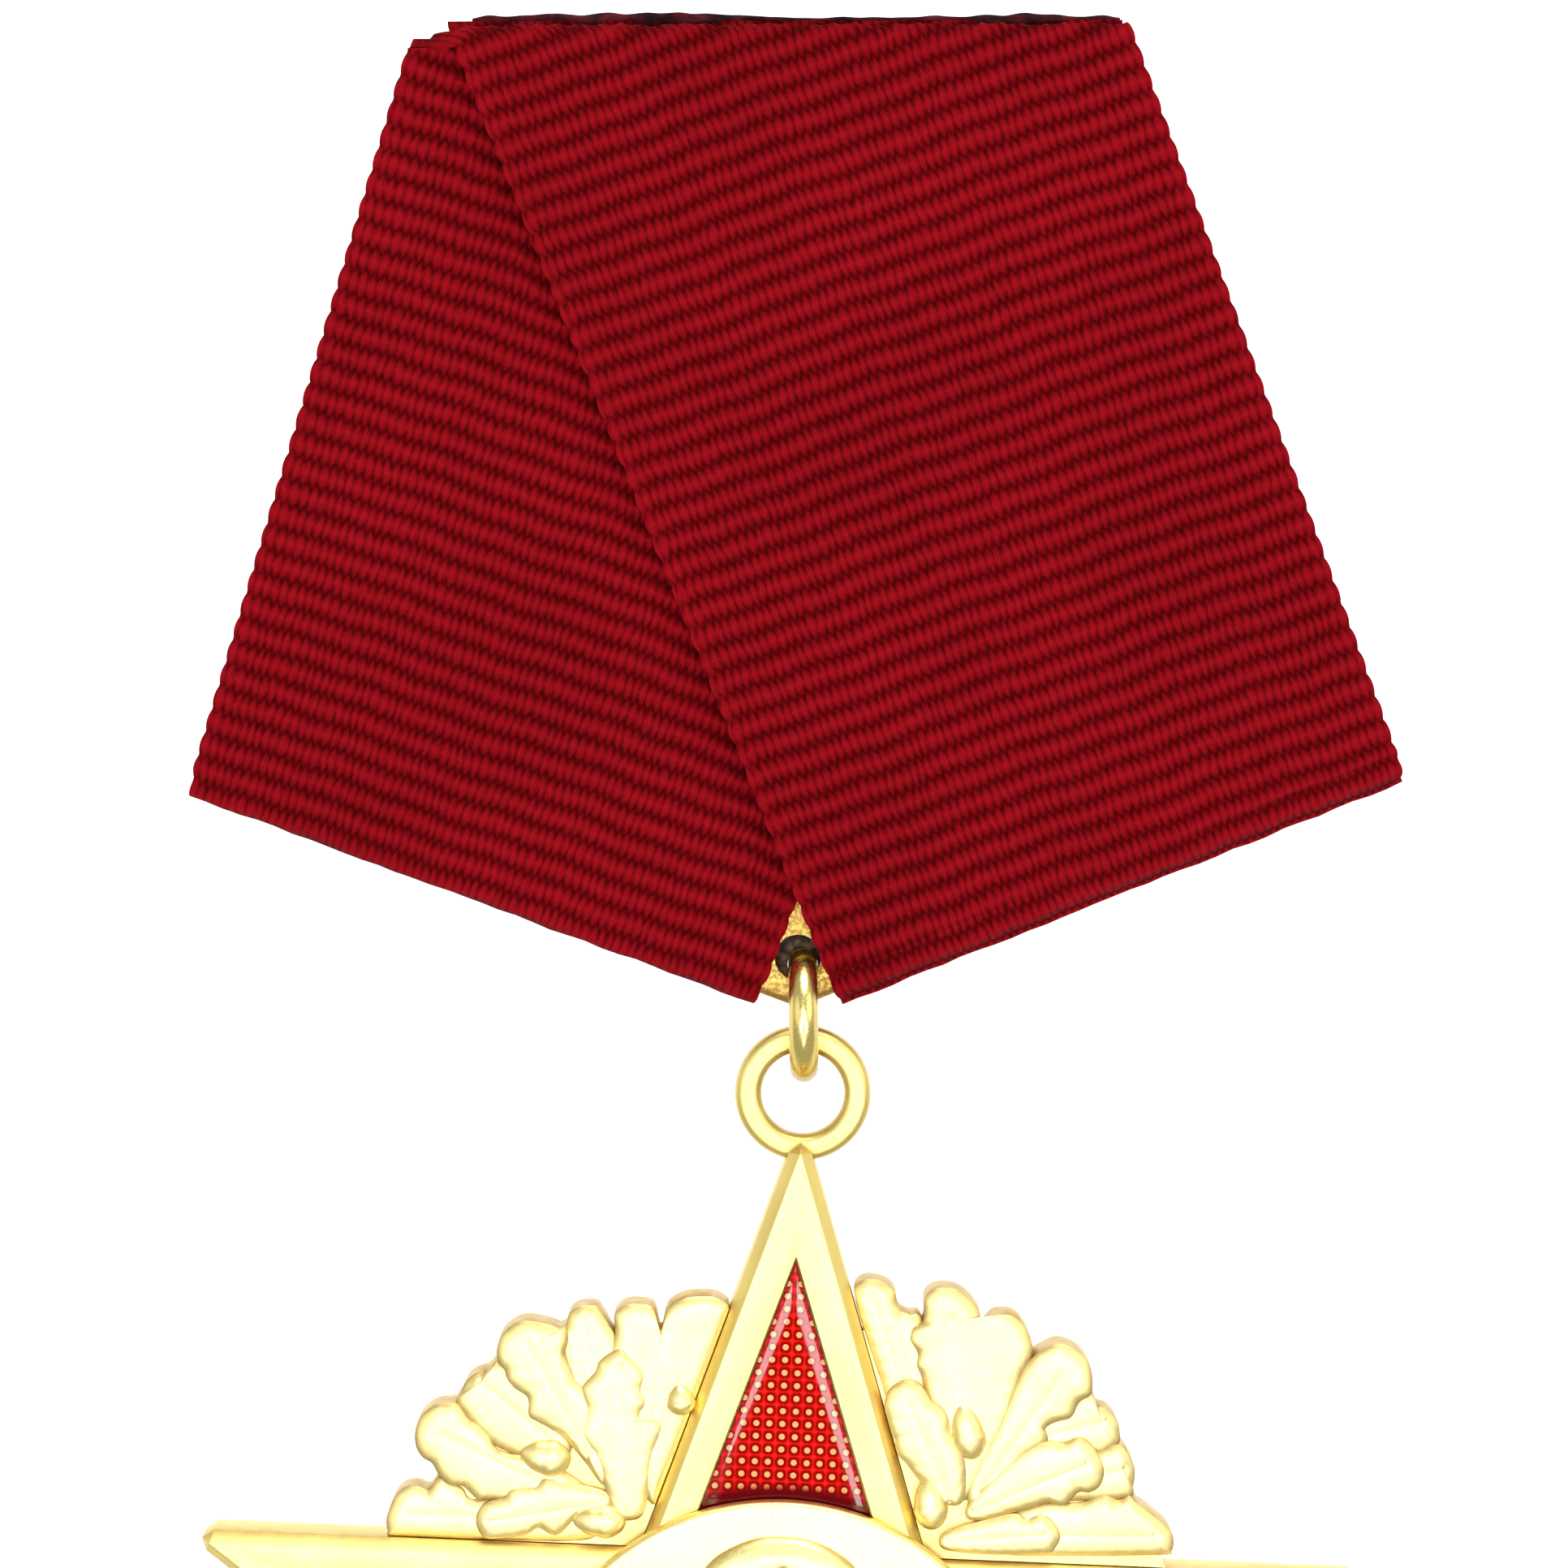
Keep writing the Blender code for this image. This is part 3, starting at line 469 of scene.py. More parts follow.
def deselect():
    """Leaves edit mode and selects nothing."""
    if bpy.context.mode != "OBJECT":
        bpy.ops.object.mode_set(mode="OBJECT")
    bpy.ops.object.select_all(action="DESELECT")


def activate(obj):
    deselect()
    obj.select_set(True)
    bpy.context.view_layer.objects.active = obj


def edit(obj):
    """Opens edit mode with all of one piece selected."""
    activate(obj)
    bpy.ops.object.mode_set(mode="EDIT")
    bpy.ops.mesh.select_all(action="SELECT")


def pick(obj, kind, test):
    """Opens edit mode with those faces or edges selected whose points, in mm, all pass the test."""
    edit(obj)
    bpy.ops.mesh.select_mode(type=kind)
    bpy.ops.mesh.select_all(action="DESELECT")
    bpy.ops.object.mode_set(mode="OBJECT")
    corners = obj.data.vertices
    for part in obj.data.polygons if kind == "FACE" else obj.data.edges:
        part.select = all(test(corners[i].co / MM) for i in part.vertices)
    bpy.ops.object.mode_set(mode="EDIT")


def round_rim(obj, test, width):
    """Rounds the edges whose ends, in mm, pass the test."""
    pick(obj, "EDGE", test)
    bpy.ops.mesh.bevel(offset=width * MM, segments=3, affect="EDGES")
    bpy.ops.object.mode_set(mode="OBJECT")


def named(name):
    """The active object, under its own name."""
    made = bpy.context.view_layer.objects.active
    made.name = name
    made.data.name = name
    return made


def apply_modifiers(obj):
    activate(obj)
    for modifier in list(obj.modifiers):
        bpy.ops.object.modifier_apply(modifier=modifier.name)


def apply_place(obj):
    """Puts a piece's place, turn and scale into its mesh."""
    activate(obj)
    bpy.ops.object.transform_apply(location=True, rotation=True, scale=True)


def mesh_piece(name, points, faces):
    """A piece from points in mm and faces, with its normals pointing out."""
    mesh = bpy.data.meshes.new(name)
    mesh.from_pydata([tuple(p) for p in np.asarray(points, float) * MM], [], faces)
    mesh.update()
    obj = bpy.data.objects.new(name, mesh)
    bpy.context.scene.collection.objects.link(obj)
    edit(obj)
    bpy.ops.mesh.normals_make_consistent(inside=False)
    bpy.ops.object.mode_set(mode="OBJECT")
    return obj


def ringed_solid(name, rings):
    """A closed solid through rings of points, all with the same count."""
    count = len(rings[0])
    faces = [list(range(count))]
    for base in range(0, (len(rings) - 1) * count, count):
        for i in range(count):
            j = (i + 1) % count
            faces.append([base + i, base + j, base + count + j, base + count + i])
    faces.append(list(range((len(rings) - 1) * count, len(rings) * count)))
    return mesh_piece(name, np.concatenate(rings), faces)


def layers(name, outlines):
    """A closed solid through outlines of equal length, given as (depth y, outline in x and z)."""
    return ringed_solid(name, [[(x, y, z) for x, z in outline] for y, outline in outlines])


def rod(name, centre, radius, near, far, steps=64):
    """A straight rod along Y, from a cylinder."""
    deselect()
    middle = (centre[0], (near + far) / 2, centre[1])
    bpy.ops.mesh.primitive_cylinder_add(vertices=steps, radius=radius * MM, depth=abs(far - near) * MM,
                                        location=Vector(middle) * MM, rotation=(math.pi / 2, 0.0, 0.0))
    made = named(name)
    apply_place(made)
    return made


def copy_piece(model, name):
    """A copy of a piece, with a mesh of its own."""
    made = bpy.data.objects.new(name, model.data.copy())
    made.data.name = name
    bpy.context.scene.collection.objects.link(made)
    return made


def join(pieces, name):
    activate(pieces[0])
    for piece in pieces[1:]:
        piece.select_set(True)
    bpy.ops.object.join()
    return named(name)


def smooth(obj, degrees):
    """Smooth shading, with edges sharper than the angle kept."""
    activate(obj)
    bpy.ops.object.shade_smooth_by_angle(angle=math.radians(degrees))


def soften(obj, width, segments, degrees):
    """A small rounded edge, as polishing leaves, where faces meet at more than the angle."""
    modifier = obj.modifiers.new("soft_edge", "BEVEL")
    modifier.width = width * MM
    modifier.segments = segments
    modifier.limit_method = "ANGLE"
    modifier.angle_limit = math.radians(degrees)
    modifier.miter_outer = "MITER_ARC"
    modifier.use_clamp_overlap = True
    apply_modifiers(obj)


def cut(obj, cutter):
    modifier = obj.modifiers.new("cut", "BOOLEAN")
    modifier.operation = "DIFFERENCE"
    modifier.solver = "EXACT"
    modifier.object = cutter
    apply_modifiers(obj)
    bpy.data.objects.remove(cutter)


def spots(obj):
    """A piece's points, in mm."""
    return np.array([v.co[:] for v in obj.data.vertices]) / MM


def store_uv(obj, uv):
    """The surface's UV map, from one pair of numbers in mm per point."""
    layer = obj.data.uv_layers.new(name=SURFACE)
    index = np.empty(len(obj.data.loops), np.int32)
    obj.data.loops.foreach_get("vertex_index", index)
    layer.data.foreach_set("uv", np.asarray(uv, np.float32)[index].reshape(-1))


def store_painted_shade(obj, values):
    """A point attribute that the gilding reads as how much painted shade a point takes."""
    attribute = obj.data.attributes.new("painted_shade", "FLOAT", "POINT")
    attribute.data.foreach_set("value", np.asarray(values, np.float32))


def hand_over(obj, body, cad_node, material, slot):
    """The piece rides on its body, stands for its CAD node and takes its finish."""
    obj.data.materials.clear()
    obj.data.materials.append(material)
    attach(obj, body)
    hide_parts(cad_node)


def hang_on_star(obj, cad_node, material, slot="gold", turn_deg=0.0):
    """Turns a piece to the left about the star's centre, hangs it with the star and hands it over."""
    hang = Matrix.Translation(Vector((RING_X, PLATE_Y, RING_PIVOT_Z)) * MM)
    lean = Matrix.Rotation(math.radians(STAR_LEAN_DEG), 4, "Y")
    drop = Matrix.Translation(Vector((0.0, 0.0, -STAR_DROP)) * MM)
    turn = Matrix.Rotation(math.radians(-turn_deg), 4, "Y")
    obj.data.transform(hang @ lean @ drop @ turn)
    obj.data.update()
    hand_over(obj, "star", cad_node, material, slot)


def material_base(name):
    """A fresh material, with its tree and its shader."""
    made = bpy.data.materials.new(name)
    made.use_nodes = True
    return made, made.node_tree, made.node_tree.nodes["Principled BSDF"]


def node(tree, kind, **values):
    made = tree.nodes.new(kind)
    for key, value in values.items():
        setattr(made, key, value)
    return made


def plug(tree, source, socket):
    """Links a socket to its source, or sets it where the source is a plain value."""
    if isinstance(source, bpy.types.NodeSocket):
        tree.links.new(source, socket)
    else:
        socket.default_value = source


def feed(tree, target, *sources):
    """Sets or links a node's inputs in order, and gives its first output."""
    for source, socket in zip(sources, target.inputs):
        plug(tree, source, socket)
    return target.outputs[0]


def dress(tree, shader, values):
    """Sets or links the shader's sockets by name."""
    for name, source in values.items():
        plug(tree, source, shader.inputs[name])


def calc(tree, operation, *values):
    return feed(tree, node(tree, "ShaderNodeMath", operation=operation), *values)


def blend_colours(tree, share, first, second, blend="MIX"):
    """The first colour, mixed with the second by its share."""
    mix = node(tree, "ShaderNodeMix", data_type="RGBA", blend_type=blend)
    for source, index in zip((share, first, second), MIX_INPUTS):
        plug(tree, source, mix.inputs[index])
    return mix.outputs[MIX_RESULT]


def ramp(tree, source, low, high, out_low=0.0, out_high=1.0):
    """A smooth step from out_low at low to out_high at high."""
    made = node(tree, "ShaderNodeMapRange", interpolation_type="SMOOTHSTEP")
    return feed(tree, made, source, low, high, out_low, out_high)


def noise_on(tree, coordinates, stretch, scale, detail):
    """Noise on coordinates that are stretched first."""
    mapping = node(tree, "ShaderNodeMapping")
    mapping.inputs["Scale"].default_value = stretch
    tree.links.new(coordinates, mapping.inputs["Vector"])
    texture = node(tree, "ShaderNodeTexNoise")
    texture.inputs["Scale"].default_value = scale
    texture.inputs["Detail"].default_value = detail
    tree.links.new(mapping.outputs["Vector"], texture.inputs["Vector"])
    return texture.outputs["Fac"]


def grain(tree, scale, detail, stretch=(1.0, 1.0, 1.0)):
    """Noise on the piece's own coordinates, with its scale in cycles per mm."""
    place = node(tree, "ShaderNodeTexCoord").outputs["Object"]
    return noise_on(tree, place, stretch, scale / MM, detail)


def surface_place(tree):
    """The two coordinates of the surface's UV map, in mm."""
    parts = node(tree, "ShaderNodeSeparateXYZ")
    tree.links.new(node(tree, "ShaderNodeUVMap", uv_map=SURFACE).outputs["UV"], parts.inputs["Vector"])
    return parts.outputs["X"], parts.outputs["Y"]


def stray(tree, amount, across, along, detail):
    """Noise about zero on the surface, with its scales in cycles per mm."""
    place = node(tree, "ShaderNodeUVMap", uv_map=SURFACE).outputs["UV"]
    texture = noise_on(tree, place, (across, along, 1.0), 1.0, detail)
    return calc(tree, "MULTIPLY", calc(tree, "SUBTRACT", texture, 0.5), amount)


def bump(tree, shader, height, strength, depth):
    """Fine relief in the shading, with its depth in mm."""
    made = node(tree, "ShaderNodeBump")
    made.inputs["Strength"].default_value = strength
    made.inputs["Distance"].default_value = depth * MM
    tree.links.new(height, made.inputs["Height"])
    tree.links.new(made.outputs["Normal"], shader.inputs["Normal"])


def rgba(colour, times=1.0):
    """A colour made lighter or darker, with its alpha."""
    return (*[min(1.0, c * times) for c in colour], 1.0)


def gilt_material(name, colour, rough, times=1.0, depth=0.012):
    """Gilding: fine grain, soft patches, and painted shade in brown where a point's stored share asks for
    it.
    """
    made, tree, shader = material_base(name)
    patches = ramp(tree, grain(tree, 0.35, 4.0), 0.3, 0.72)
    fine = grain(tree, 9.0, 3.0)
    tone = blend_colours(tree, patches, rgba(colour, 0.93 * times), rgba(colour, 1.06 * times))
    # Painted shade: each point's stored share turns the gilding brown, blotched by noise.
    painted_shade = node(tree, "ShaderNodeAttribute", attribute_name="painted_shade").outputs["Fac"]
    shade_share = calc(tree, "MULTIPLY", painted_shade, ramp(tree, grain(tree, 1.6, 3.0), 0.2, 0.75, 0.6, 1.0))
    dress(tree, shader, {
        "Base Color": blend_colours(tree, shade_share, tone, SHADE_ON_GOLD),
        "Metallic": 1.0,
        "Roughness": ramp(tree, fine, 0.3, 0.7, rough - 0.06, rough + 0.06),
    })
    height = calc(tree, "MULTIPLY_ADD", fine, 0.35, grain(tree, 1.1, 2.0))
    bump(tree, shader, height, 0.35, depth)
    return made


def plate_material():
    """Matte stamped brass with pits and darker stains."""
    made, tree, shader = material_base("plate_brass")
    stains = ramp(tree, grain(tree, 0.8, 5.0), 0.35, 0.68)
    pits = ramp(tree, grain(tree, 5.0, 4.0), 0.36, 0.6)
    tone = blend_colours(tree, stains, PLATE_STAIN, PLATE_BRASS)
    dress(tree, shader, {
        "Base Color": blend_colours(tree, pits, PLATE_PIT, tone),
        "Metallic": 1.0,
        "Roughness": ramp(tree, pits, 0.0, 1.0, 0.55, 0.36),
    })
    bump(tree, shader, pits, 0.4, 0.02)
    return made


def shade_bush_material():
    """Mottled brown-black that paints the shade seen through the plate's hole."""
    made, tree, shader = material_base("shade_bush_dark")
    patches = ramp(tree, grain(tree, 3.0, 4.0), 0.35, 0.7)
    dress(tree, shader, {
        "Base Color": blend_colours(tree, patches, BUSH_SHADE_BLACK, BUSH_SHADE_BROWN),
        "Metallic": 0.6,
        "Roughness": ramp(tree, patches, 0.0, 1.0, 0.65, 0.45),
    })
    return made


def steel_material():
    """Drawn steel wire, brushed along its length."""
    made, tree, shader = material_base("pin_steel")
    lines = grain(tree, 6.0, 3.0, stretch=(0.04, 1.0, 1.0))
    dress(tree, shader, {
        "Base Color": blend_colours(tree, ramp(tree, lines, 0.3, 0.7), STEEL_DARK, STEEL_LIGHT),
        "Metallic": 1.0,
        "Roughness": ramp(tree, lines, 0.3, 0.7, 0.22, 0.36),
    })
    bump(tree, shader, lines, 0.25, 0.01)
    return made


def char_material():
    """Heat-sealed fibre: dark, lumpy and half glossy."""
    made, tree, shader = material_base("sealed_end")
    lumps = grain(tree, 1.6, 5.0)
    dress(tree, shader, {
        "Base Color": blend_colours(tree, ramp(tree, lumps, 0.35, 0.7), CHAR_BLACK, CHAR_RED),
        "Roughness": ramp(tree, lumps, 0.3, 0.7, 0.7, 0.45),
        "Specular IOR Level": 0.06,
    })
    bump(tree, shader, lumps, 0.7, 0.08)
    return made


def cord_height(tree, warp, cords):
    """Rise over the toothed valley where the threads of one cord reach between the next one's."""
    tooth = settings("ribbon").tooth
    beside = calc(tree, "MULTIPLY_ADD", calc(tree, "PINGPONG", warp, 0.5), -4.0 * tooth, tooth)
    ahead = calc(tree, "MULTIPLY_ADD", calc(tree, "PINGPONG", cords, 1.0), -2.0, 1.0)
    return calc(tree, "ABSOLUTE", calc(tree, "ADD", beside, ahead))


def weave_relief(tree):
    """Height of the woven cords, evened out at the selvedges, and roundness of the single threads."""
    look = settings("ribbon")
    across, along = surface_place(tree)
    warp = calc(tree, "DIVIDE", across, in_mm(look.thread_pitch))
    warp = calc(tree, "ADD", warp, stray(tree, 1.2, 0.8, 0.6, 2.0))
    cords = calc(tree, "SUBTRACT", calc(tree, "DIVIDE", along, in_mm(look.rib_pitch)), 0.5)
    cords = calc(tree, "ADD", cords, stray(tree, 0.22, 2.2, 0.9, 2.0))
    height = cord_height(tree, warp, cords)
    thread = calc(tree, "ABSOLUTE", calc(tree, "SINE", calc(tree, "MULTIPLY", warp, 2 * math.pi)))
    edge = calc(tree, "MINIMUM", across, calc(tree, "SUBTRACT", in_mm(look.width), across))
    selvedge = ramp(tree, edge, 0.1, 0.6, 0.3, 0.0)
    height = calc(tree, "MULTIPLY_ADD", calc(tree, "SUBTRACT", 0.62, height), selvedge, height)
    return height, thread


def ribbon_material():
    """Grosgrain: warp threads in spindles that interlock in teeth between thick cords, with painted light:
    lighter crests and thread crowns, painted shade in the toothed valleys.
    """
    look = settings("ribbon")
    made, tree, shader = material_base("ribbon_grosgrain")
    height, thread = weave_relief(tree)
    fibre = stray(tree, 1.0, 11.0, 1.5, 4.0)
    # Painted light: crests and thread crowns lighter, toothed valleys darker, as light and shade would fall
    # on the cords.
    painted_light = calc(tree, "MULTIPLY_ADD", thread, 0.08, ramp(tree, height, -0.26, 0.78))
    painted_light = calc(tree, "MULTIPLY_ADD", fibre, 0.75, painted_light)
    tone = blend_colours(tree, ramp(tree, painted_light, 0.0, 1.1), rgba(look.shade), rgba(look.colour))
    patches = ramp(tree, grain(tree, 0.12, 3.0), 0.3, 0.7)
    faded = blend_colours(tree, patches, CLOTH_FADED, WHITE)
    dress(tree, shader, {
        "Base Color": blend_colours(tree, 1.0, tone, faded, "MULTIPLY"),
        "Roughness": 0.7,
        "Specular IOR Level": 0.02,
    })
    relief = calc(tree, "MULTIPLY_ADD", thread, 0.06, ramp(tree, height, -0.3, 1.1))
    relief = calc(tree, "MULTIPLY_ADD", fibre, 0.3, relief)
    bump(tree, shader, relief, 1.0, 0.42)
    return made


def root_of_squares(tree, first, second):
    """The length of a pair of coordinates."""
    squares = [calc(tree, "MULTIPLY", p, p) for p in (first, second)]
    return calc(tree, "SQRT", calc(tree, "ADD", *squares))


def wall_distance(tree, across, along):
    """Distance in mm from the nearer side wall of an enamel field."""
    lean = calc(tree, "MULTIPLY", calc(tree, "SUBTRACT", FIELD_APEX, along), math.sin(FIELD_HALF))
    return calc(tree, "MULTIPLY_ADD", calc(tree, "ABSOLUTE", across), -math.cos(FIELD_HALF), lean)


def shaded_border(tree, across, along, wall):
    """How much painted shade the enamel takes where its walls and the medallion would shade it."""
    reach = root_of_squares(tree, across, along)
    base = ramp(tree, calc(tree, "SUBTRACT", reach, DISC_RADIUS), 0.25, 0.8, 1.0, 0.0)
    return calc(tree, "MAXIMUM", base, ramp(tree, wall, 0.06, 0.16, 0.9, 0.0))


def stamped_ground(tree, across, along):
    """The dotted ground under the enamel: its colour, its dots and the rings round them."""
    look = settings("star")
    cell = []
    for source in (across, along):
        share = calc(tree, "FRACT", calc(tree, "DIVIDE", source, DOT_PITCH))
        cell.append(calc(tree, "MULTIPLY", calc(tree, "SUBTRACT", share, 0.5), DOT_PITCH))
    radius = root_of_squares(tree, *cell)
    lobes = calc(tree, "ABSOLUTE", calc(tree, "MULTIPLY", *cell))
    dot = ramp(tree, radius, 0.105, 0.145, 1.0, 0.0)
    ring = ramp(tree, calc(tree, "MULTIPLY_ADD", lobes, -0.9, radius), 0.23, 0.27, 1.0, 0.0)
    depth = ramp(tree, grain(tree, 0.5, 3.0), 0.3, 0.7)
    ground = blend_colours(tree, depth, rgba(look.enamel, 0.85), rgba(look.enamel, 1.15))
    shade = blend_colours(tree, ramp(tree, radius, 0.17, 0.2), RING_DEEP, RING_RED)
    ringed = blend_colours(tree, ring, ground, shade)
    return blend_colours(tree, dot, ringed, DOT_GOLD), dot, ring


def enamel_material():
    """Clear red enamel over a stamped ground of bright dots, each in a darker ring, with painted shade
    along its walls and by the medallion.
    """
    made, tree, shader = material_base("red_enamel")
    across, along = surface_place(tree)
    dotted, dot, ring = stamped_ground(tree, across, along)
    wall = wall_distance(tree, across, along)
    painted_border_shade = shaded_border(tree, across, along, wall)
    dress(tree, shader, {
        "Base Color": blend_colours(tree, painted_border_shade, dotted, PAINTED_SHADE_RED),
        "Roughness": 0.4,
        "Specular IOR Level": 0.0,
        "Coat Weight": ramp(tree, wall, 0.5, 0.75, 1.0, 0.14),
        "Coat Roughness": 0.03,
        "Coat IOR": 1.52,
    })
    bump(tree, shader, calc(tree, "MULTIPLY_ADD", ring, -0.5, dot), 0.4, 0.04)
    return made


def stage_material(name, glow):
    """Plain white with a glow of its own."""
    made, tree, shader = material_base(name)
    dress(tree, shader, {
        "Base Color": STAGE_WHITE,
        "Roughness": 0.9,
        "Emission Color": WHITE,
        "Emission Strength": glow,
    })
    return made


def lower_corner(side):
    """The left end of a band's lower fold line. Side is -1 for the left band and 1 for the right."""
    inner = np.array((side * LOWER_X, LOWER_Z))
    if side > 0:
        return inner
    width = in_mm(settings("ribbon").width)
    return inner + np.array((-width * math.cos(BAND_RISE), width * math.sin(BAND_RISE)))


def band_point(side, u, s):
    """x and z on a flat band: u across from its left edge, s up from its lower fold line."""
    start = lower_corner(side)
    x = start[0] + u * math.cos(BAND_RISE) - side * s * math.sin(BAND_RISE)
    z = start[1] + side * u * math.sin(BAND_RISE) + s * math.cos(BAND_RISE)
    share = u / in_mm(settings("ribbon").width)
    climb = np.clip(s / PULL_HEIGHT, 0.0, PULL_LIMIT)
    pull = -LEFT_PULL * (1.0 - share) ** 1.5 if side < 0 else RIGHT_PULL * share**2
    return x + pull * climb, z


def top_line(u):
    """Height of the top fold's line, a little lower towards the right."""
    return TOP_Z - TOP_FALL * u / in_mm(settings("ribbon").width)


def band_length(side, u):
    """Distance from a band's lower fold line to the top fold, for each u."""
    start = lower_corner(side)
    return (top_line(u) - start[1] - side * u * math.sin(BAND_RISE)) / math.cos(BAND_RISE)


def tail_rows(side, layer, u, beyond=0.0):
    """A band's tail behind the plate, from its end at the top down to the lower fold."""
    reach = layer + RIBBON_THICK / 2
    rows = []
    for v in np.linspace(1.0, 0.0, TAIL_ROWS, endpoint=False):
        s = reach + v * (band_length(side, u) + beyond - reach)
        x, z = band_point(side, u, s)
        points = np.stack([x, np.full(len(u), PLATE_Y + layer), z], -1)
        rows.append((points, reach - s - math.pi * layer))
    return rows


def fold_rows(side, layer, u, count):
    """A band's lower fold round the plate's edge, from the back to the front."""
    reach = layer + RIBBON_THICK / 2
    rows = []
    for turn in np.linspace(0.0, math.pi, count, endpoint=False):
        x, z = band_point(side, u, reach - layer * np.sin(turn))
        points = np.stack([x, np.full(len(u), PLATE_Y + layer * np.cos(turn)), z], -1)
        rows.append((points, np.full(len(u), layer * (turn - math.pi))))
    return rows


def front_rows(u):
    """Both front bands and the top fold between them, and the mean length of that path."""
    reach = [LEFT_LAYER + RIBBON_THICK / 2, RIGHT_LAYER + RIBBON_THICK / 2]
    radius = (RIGHT_LAYER - LEFT_LAYER) / 2
    arc = math.pi * radius
    left, right = band_length(-1, u) - reach[0], band_length(1, u) - reach[1]
    whole = left + right + arc
    count = int(whole.mean() * ROWS_PER_CORD / in_mm(settings("ribbon").rib_pitch))
    highest = top_line(u) - CORNER_PRESS * np.exp(-u / CORNER_REACH) + radius
    rows = []
    for i in range(count + 1):
        along = whole * i / count
        left_x, left_z = band_point(-1, u, reach[0] + np.minimum(along, left))
        right_x, right_z = band_point(1, u, reach[1] + np.minimum(whole - along, right))
        part = np.clip((along - left) / arc, 0.0, 1.0)
        turn = part * math.pi
        x = left_x + (right_x - left_x) * part
        z = np.where(part >= 1.0, right_z, top_line(u) + radius * np.sin(turn))
        z = np.minimum(np.where(part <= 0.0, left_z, z), highest)
        y = PLATE_Y - (LEFT_LAYER + RIGHT_LAYER) / 2 + radius * np.cos(turn)
        rows.append((np.stack([x, y, z], -1), along))
    return rows, whole.mean()


def ribbon_rows(u):
    """Points from one tail's end to the other's, each point's distance along, and the front's length."""
    front, whole = front_rows(u)
    rows = tail_rows(-1, LEFT_LAYER, u) + fold_rows(-1, LEFT_LAYER, u, LEFT_FOLD_ROWS) + front
    right = tail_rows(1, RIGHT_LAYER, u, TAIL_BEYOND) + fold_rows(1, RIGHT_LAYER, u, RIGHT_FOLD_ROWS)
    rows += [(points, whole - along) for points, along in reversed(right)]
    return np.array([points for points, _ in rows]), np.array([along for _, along in rows]), whole


def cloth_relief(u, cords, worn):
    """Half the cloth's thickness over its cords, and how far its edges stand out."""
    look = settings("ribbon")
    edge = np.minimum(u, in_mm(look.width) - u)
    cord = np.abs(np.sin(math.pi * cords / in_mm(look.rib_pitch))) ** CORD_FULLNESS
    cord = cord + (EDGE_LEVEL - cord) * EDGE_SHARE * hump(edge, EDGE_WIDTH)
    selvedge = SELVEDGE_RISE * hump(edge - SELVEDGE_AT, SELVEDGE_WIDTH)
    uneven = WORN_RISE * np.sin(4.3 * u + 2.0 * np.sin(1.7 * u)) * worn
    half = in_mm(look.thickness) / 2 + in_mm(look.rib_height) * cord + selvedge + uneven
    swell = EDGE_SWELL * cord - EDGE_TAKE_IN - WORN_TAKE_IN * worn
    return half, np.where(edge < HAIR, swell, 0.0)


def grid_directions(points):
    """Unit directions square to a grid of points and across it."""
    across = np.gradient(points, axis=1)
    normal = np.cross(across, np.gradient(points, axis=0))
    normal /= np.maximum(np.linalg.norm(normal, axis=2, keepdims=True), 1e-9)
    return normal, across / np.linalg.norm(across, axis=2, keepdims=True)


def there_and_back(front, back):
    """Rows that run across the front of a strip and then back across its other side."""
    return np.concatenate([front, back[:, ::-1]], axis=1)


class MEDAL_OT_ribbon(bpy.types.Operator):
    """Weave the ribbon: one strip of corded cloth folded over the plate"""

    bl_idname = "medal.ribbon"
    bl_label = "Ribbon"

    def execute(self, context):
        width = in_mm(settings("ribbon").width)
        u = np.linspace(0.0, width, RIBBON_COLUMNS)
        points, along, front = ribbon_rows(u)
        cords = along + 0.05 * np.sin(0.7 * u + 0.9) + 0.04 * np.sin(1.9 * u)
        folds = np.minimum(np.abs(along - LEFT_WORN_AT), np.abs(along - front - RIGHT_WORN_AT))
        half, swell = cloth_relief(u, cords, np.exp(-((folds / WORN_WIDTH) ** 4)))
        normal, across = grid_directions(points)
        points = points + across * (swell * np.sign(u - width / 2))[..., None]
        rise = normal * half[..., None]
        ribbon = ringed_solid("ribbon_strip", there_and_back(points + rise, points - rise))
        weave = np.stack([np.broadcast_to(u, along.shape), cords], -1)
        store_uv(ribbon, there_and_back(weave, weave).reshape(-1, 2))
        smooth(ribbon, 60.0)
        hand_over(ribbon, "mount", "ribbon", ribbon_material(), "ribbon")
        return {"FINISHED"}


def bead_ring(i):
    """One ring of points round the lumpy sealed end."""
    x = BEAD_LEFT + BEAD_LENGTH * i / BEAD_STEPS
    taper = min(1.0, 4.0 * min(i, BEAD_STEPS - i) / BEAD_STEPS + 0.25)
    swell = 1.0 - BEAD_THIN * math.exp(-((x - BEAD_THIN_AT) / BEAD_THIN_REACH) ** 4)
    knob = sum(size * hump(x - at, spread) for at, size, spread in BEAD_KNOBS)
    height = top_line(x + 12.0) + BEAD_RISE
    ring = []
    for k in range(BEAD_SIDES):
        t = 2 * math.pi * k / BEAD_SIDES
        lump = noise.noise(Vector((x * 0.9, math.cos(t) * 0.7, math.sin(t) * 0.7)))
        radius = (BEAD_RADIUS + BEAD_LUMP * lump) * taper * swell + knob
        y = PLATE_Y + RIGHT_LAYER + radius * math.cos(t)
        ring.append((x, y, height + BEAD_TALL * radius * math.sin(t)))
    return ring


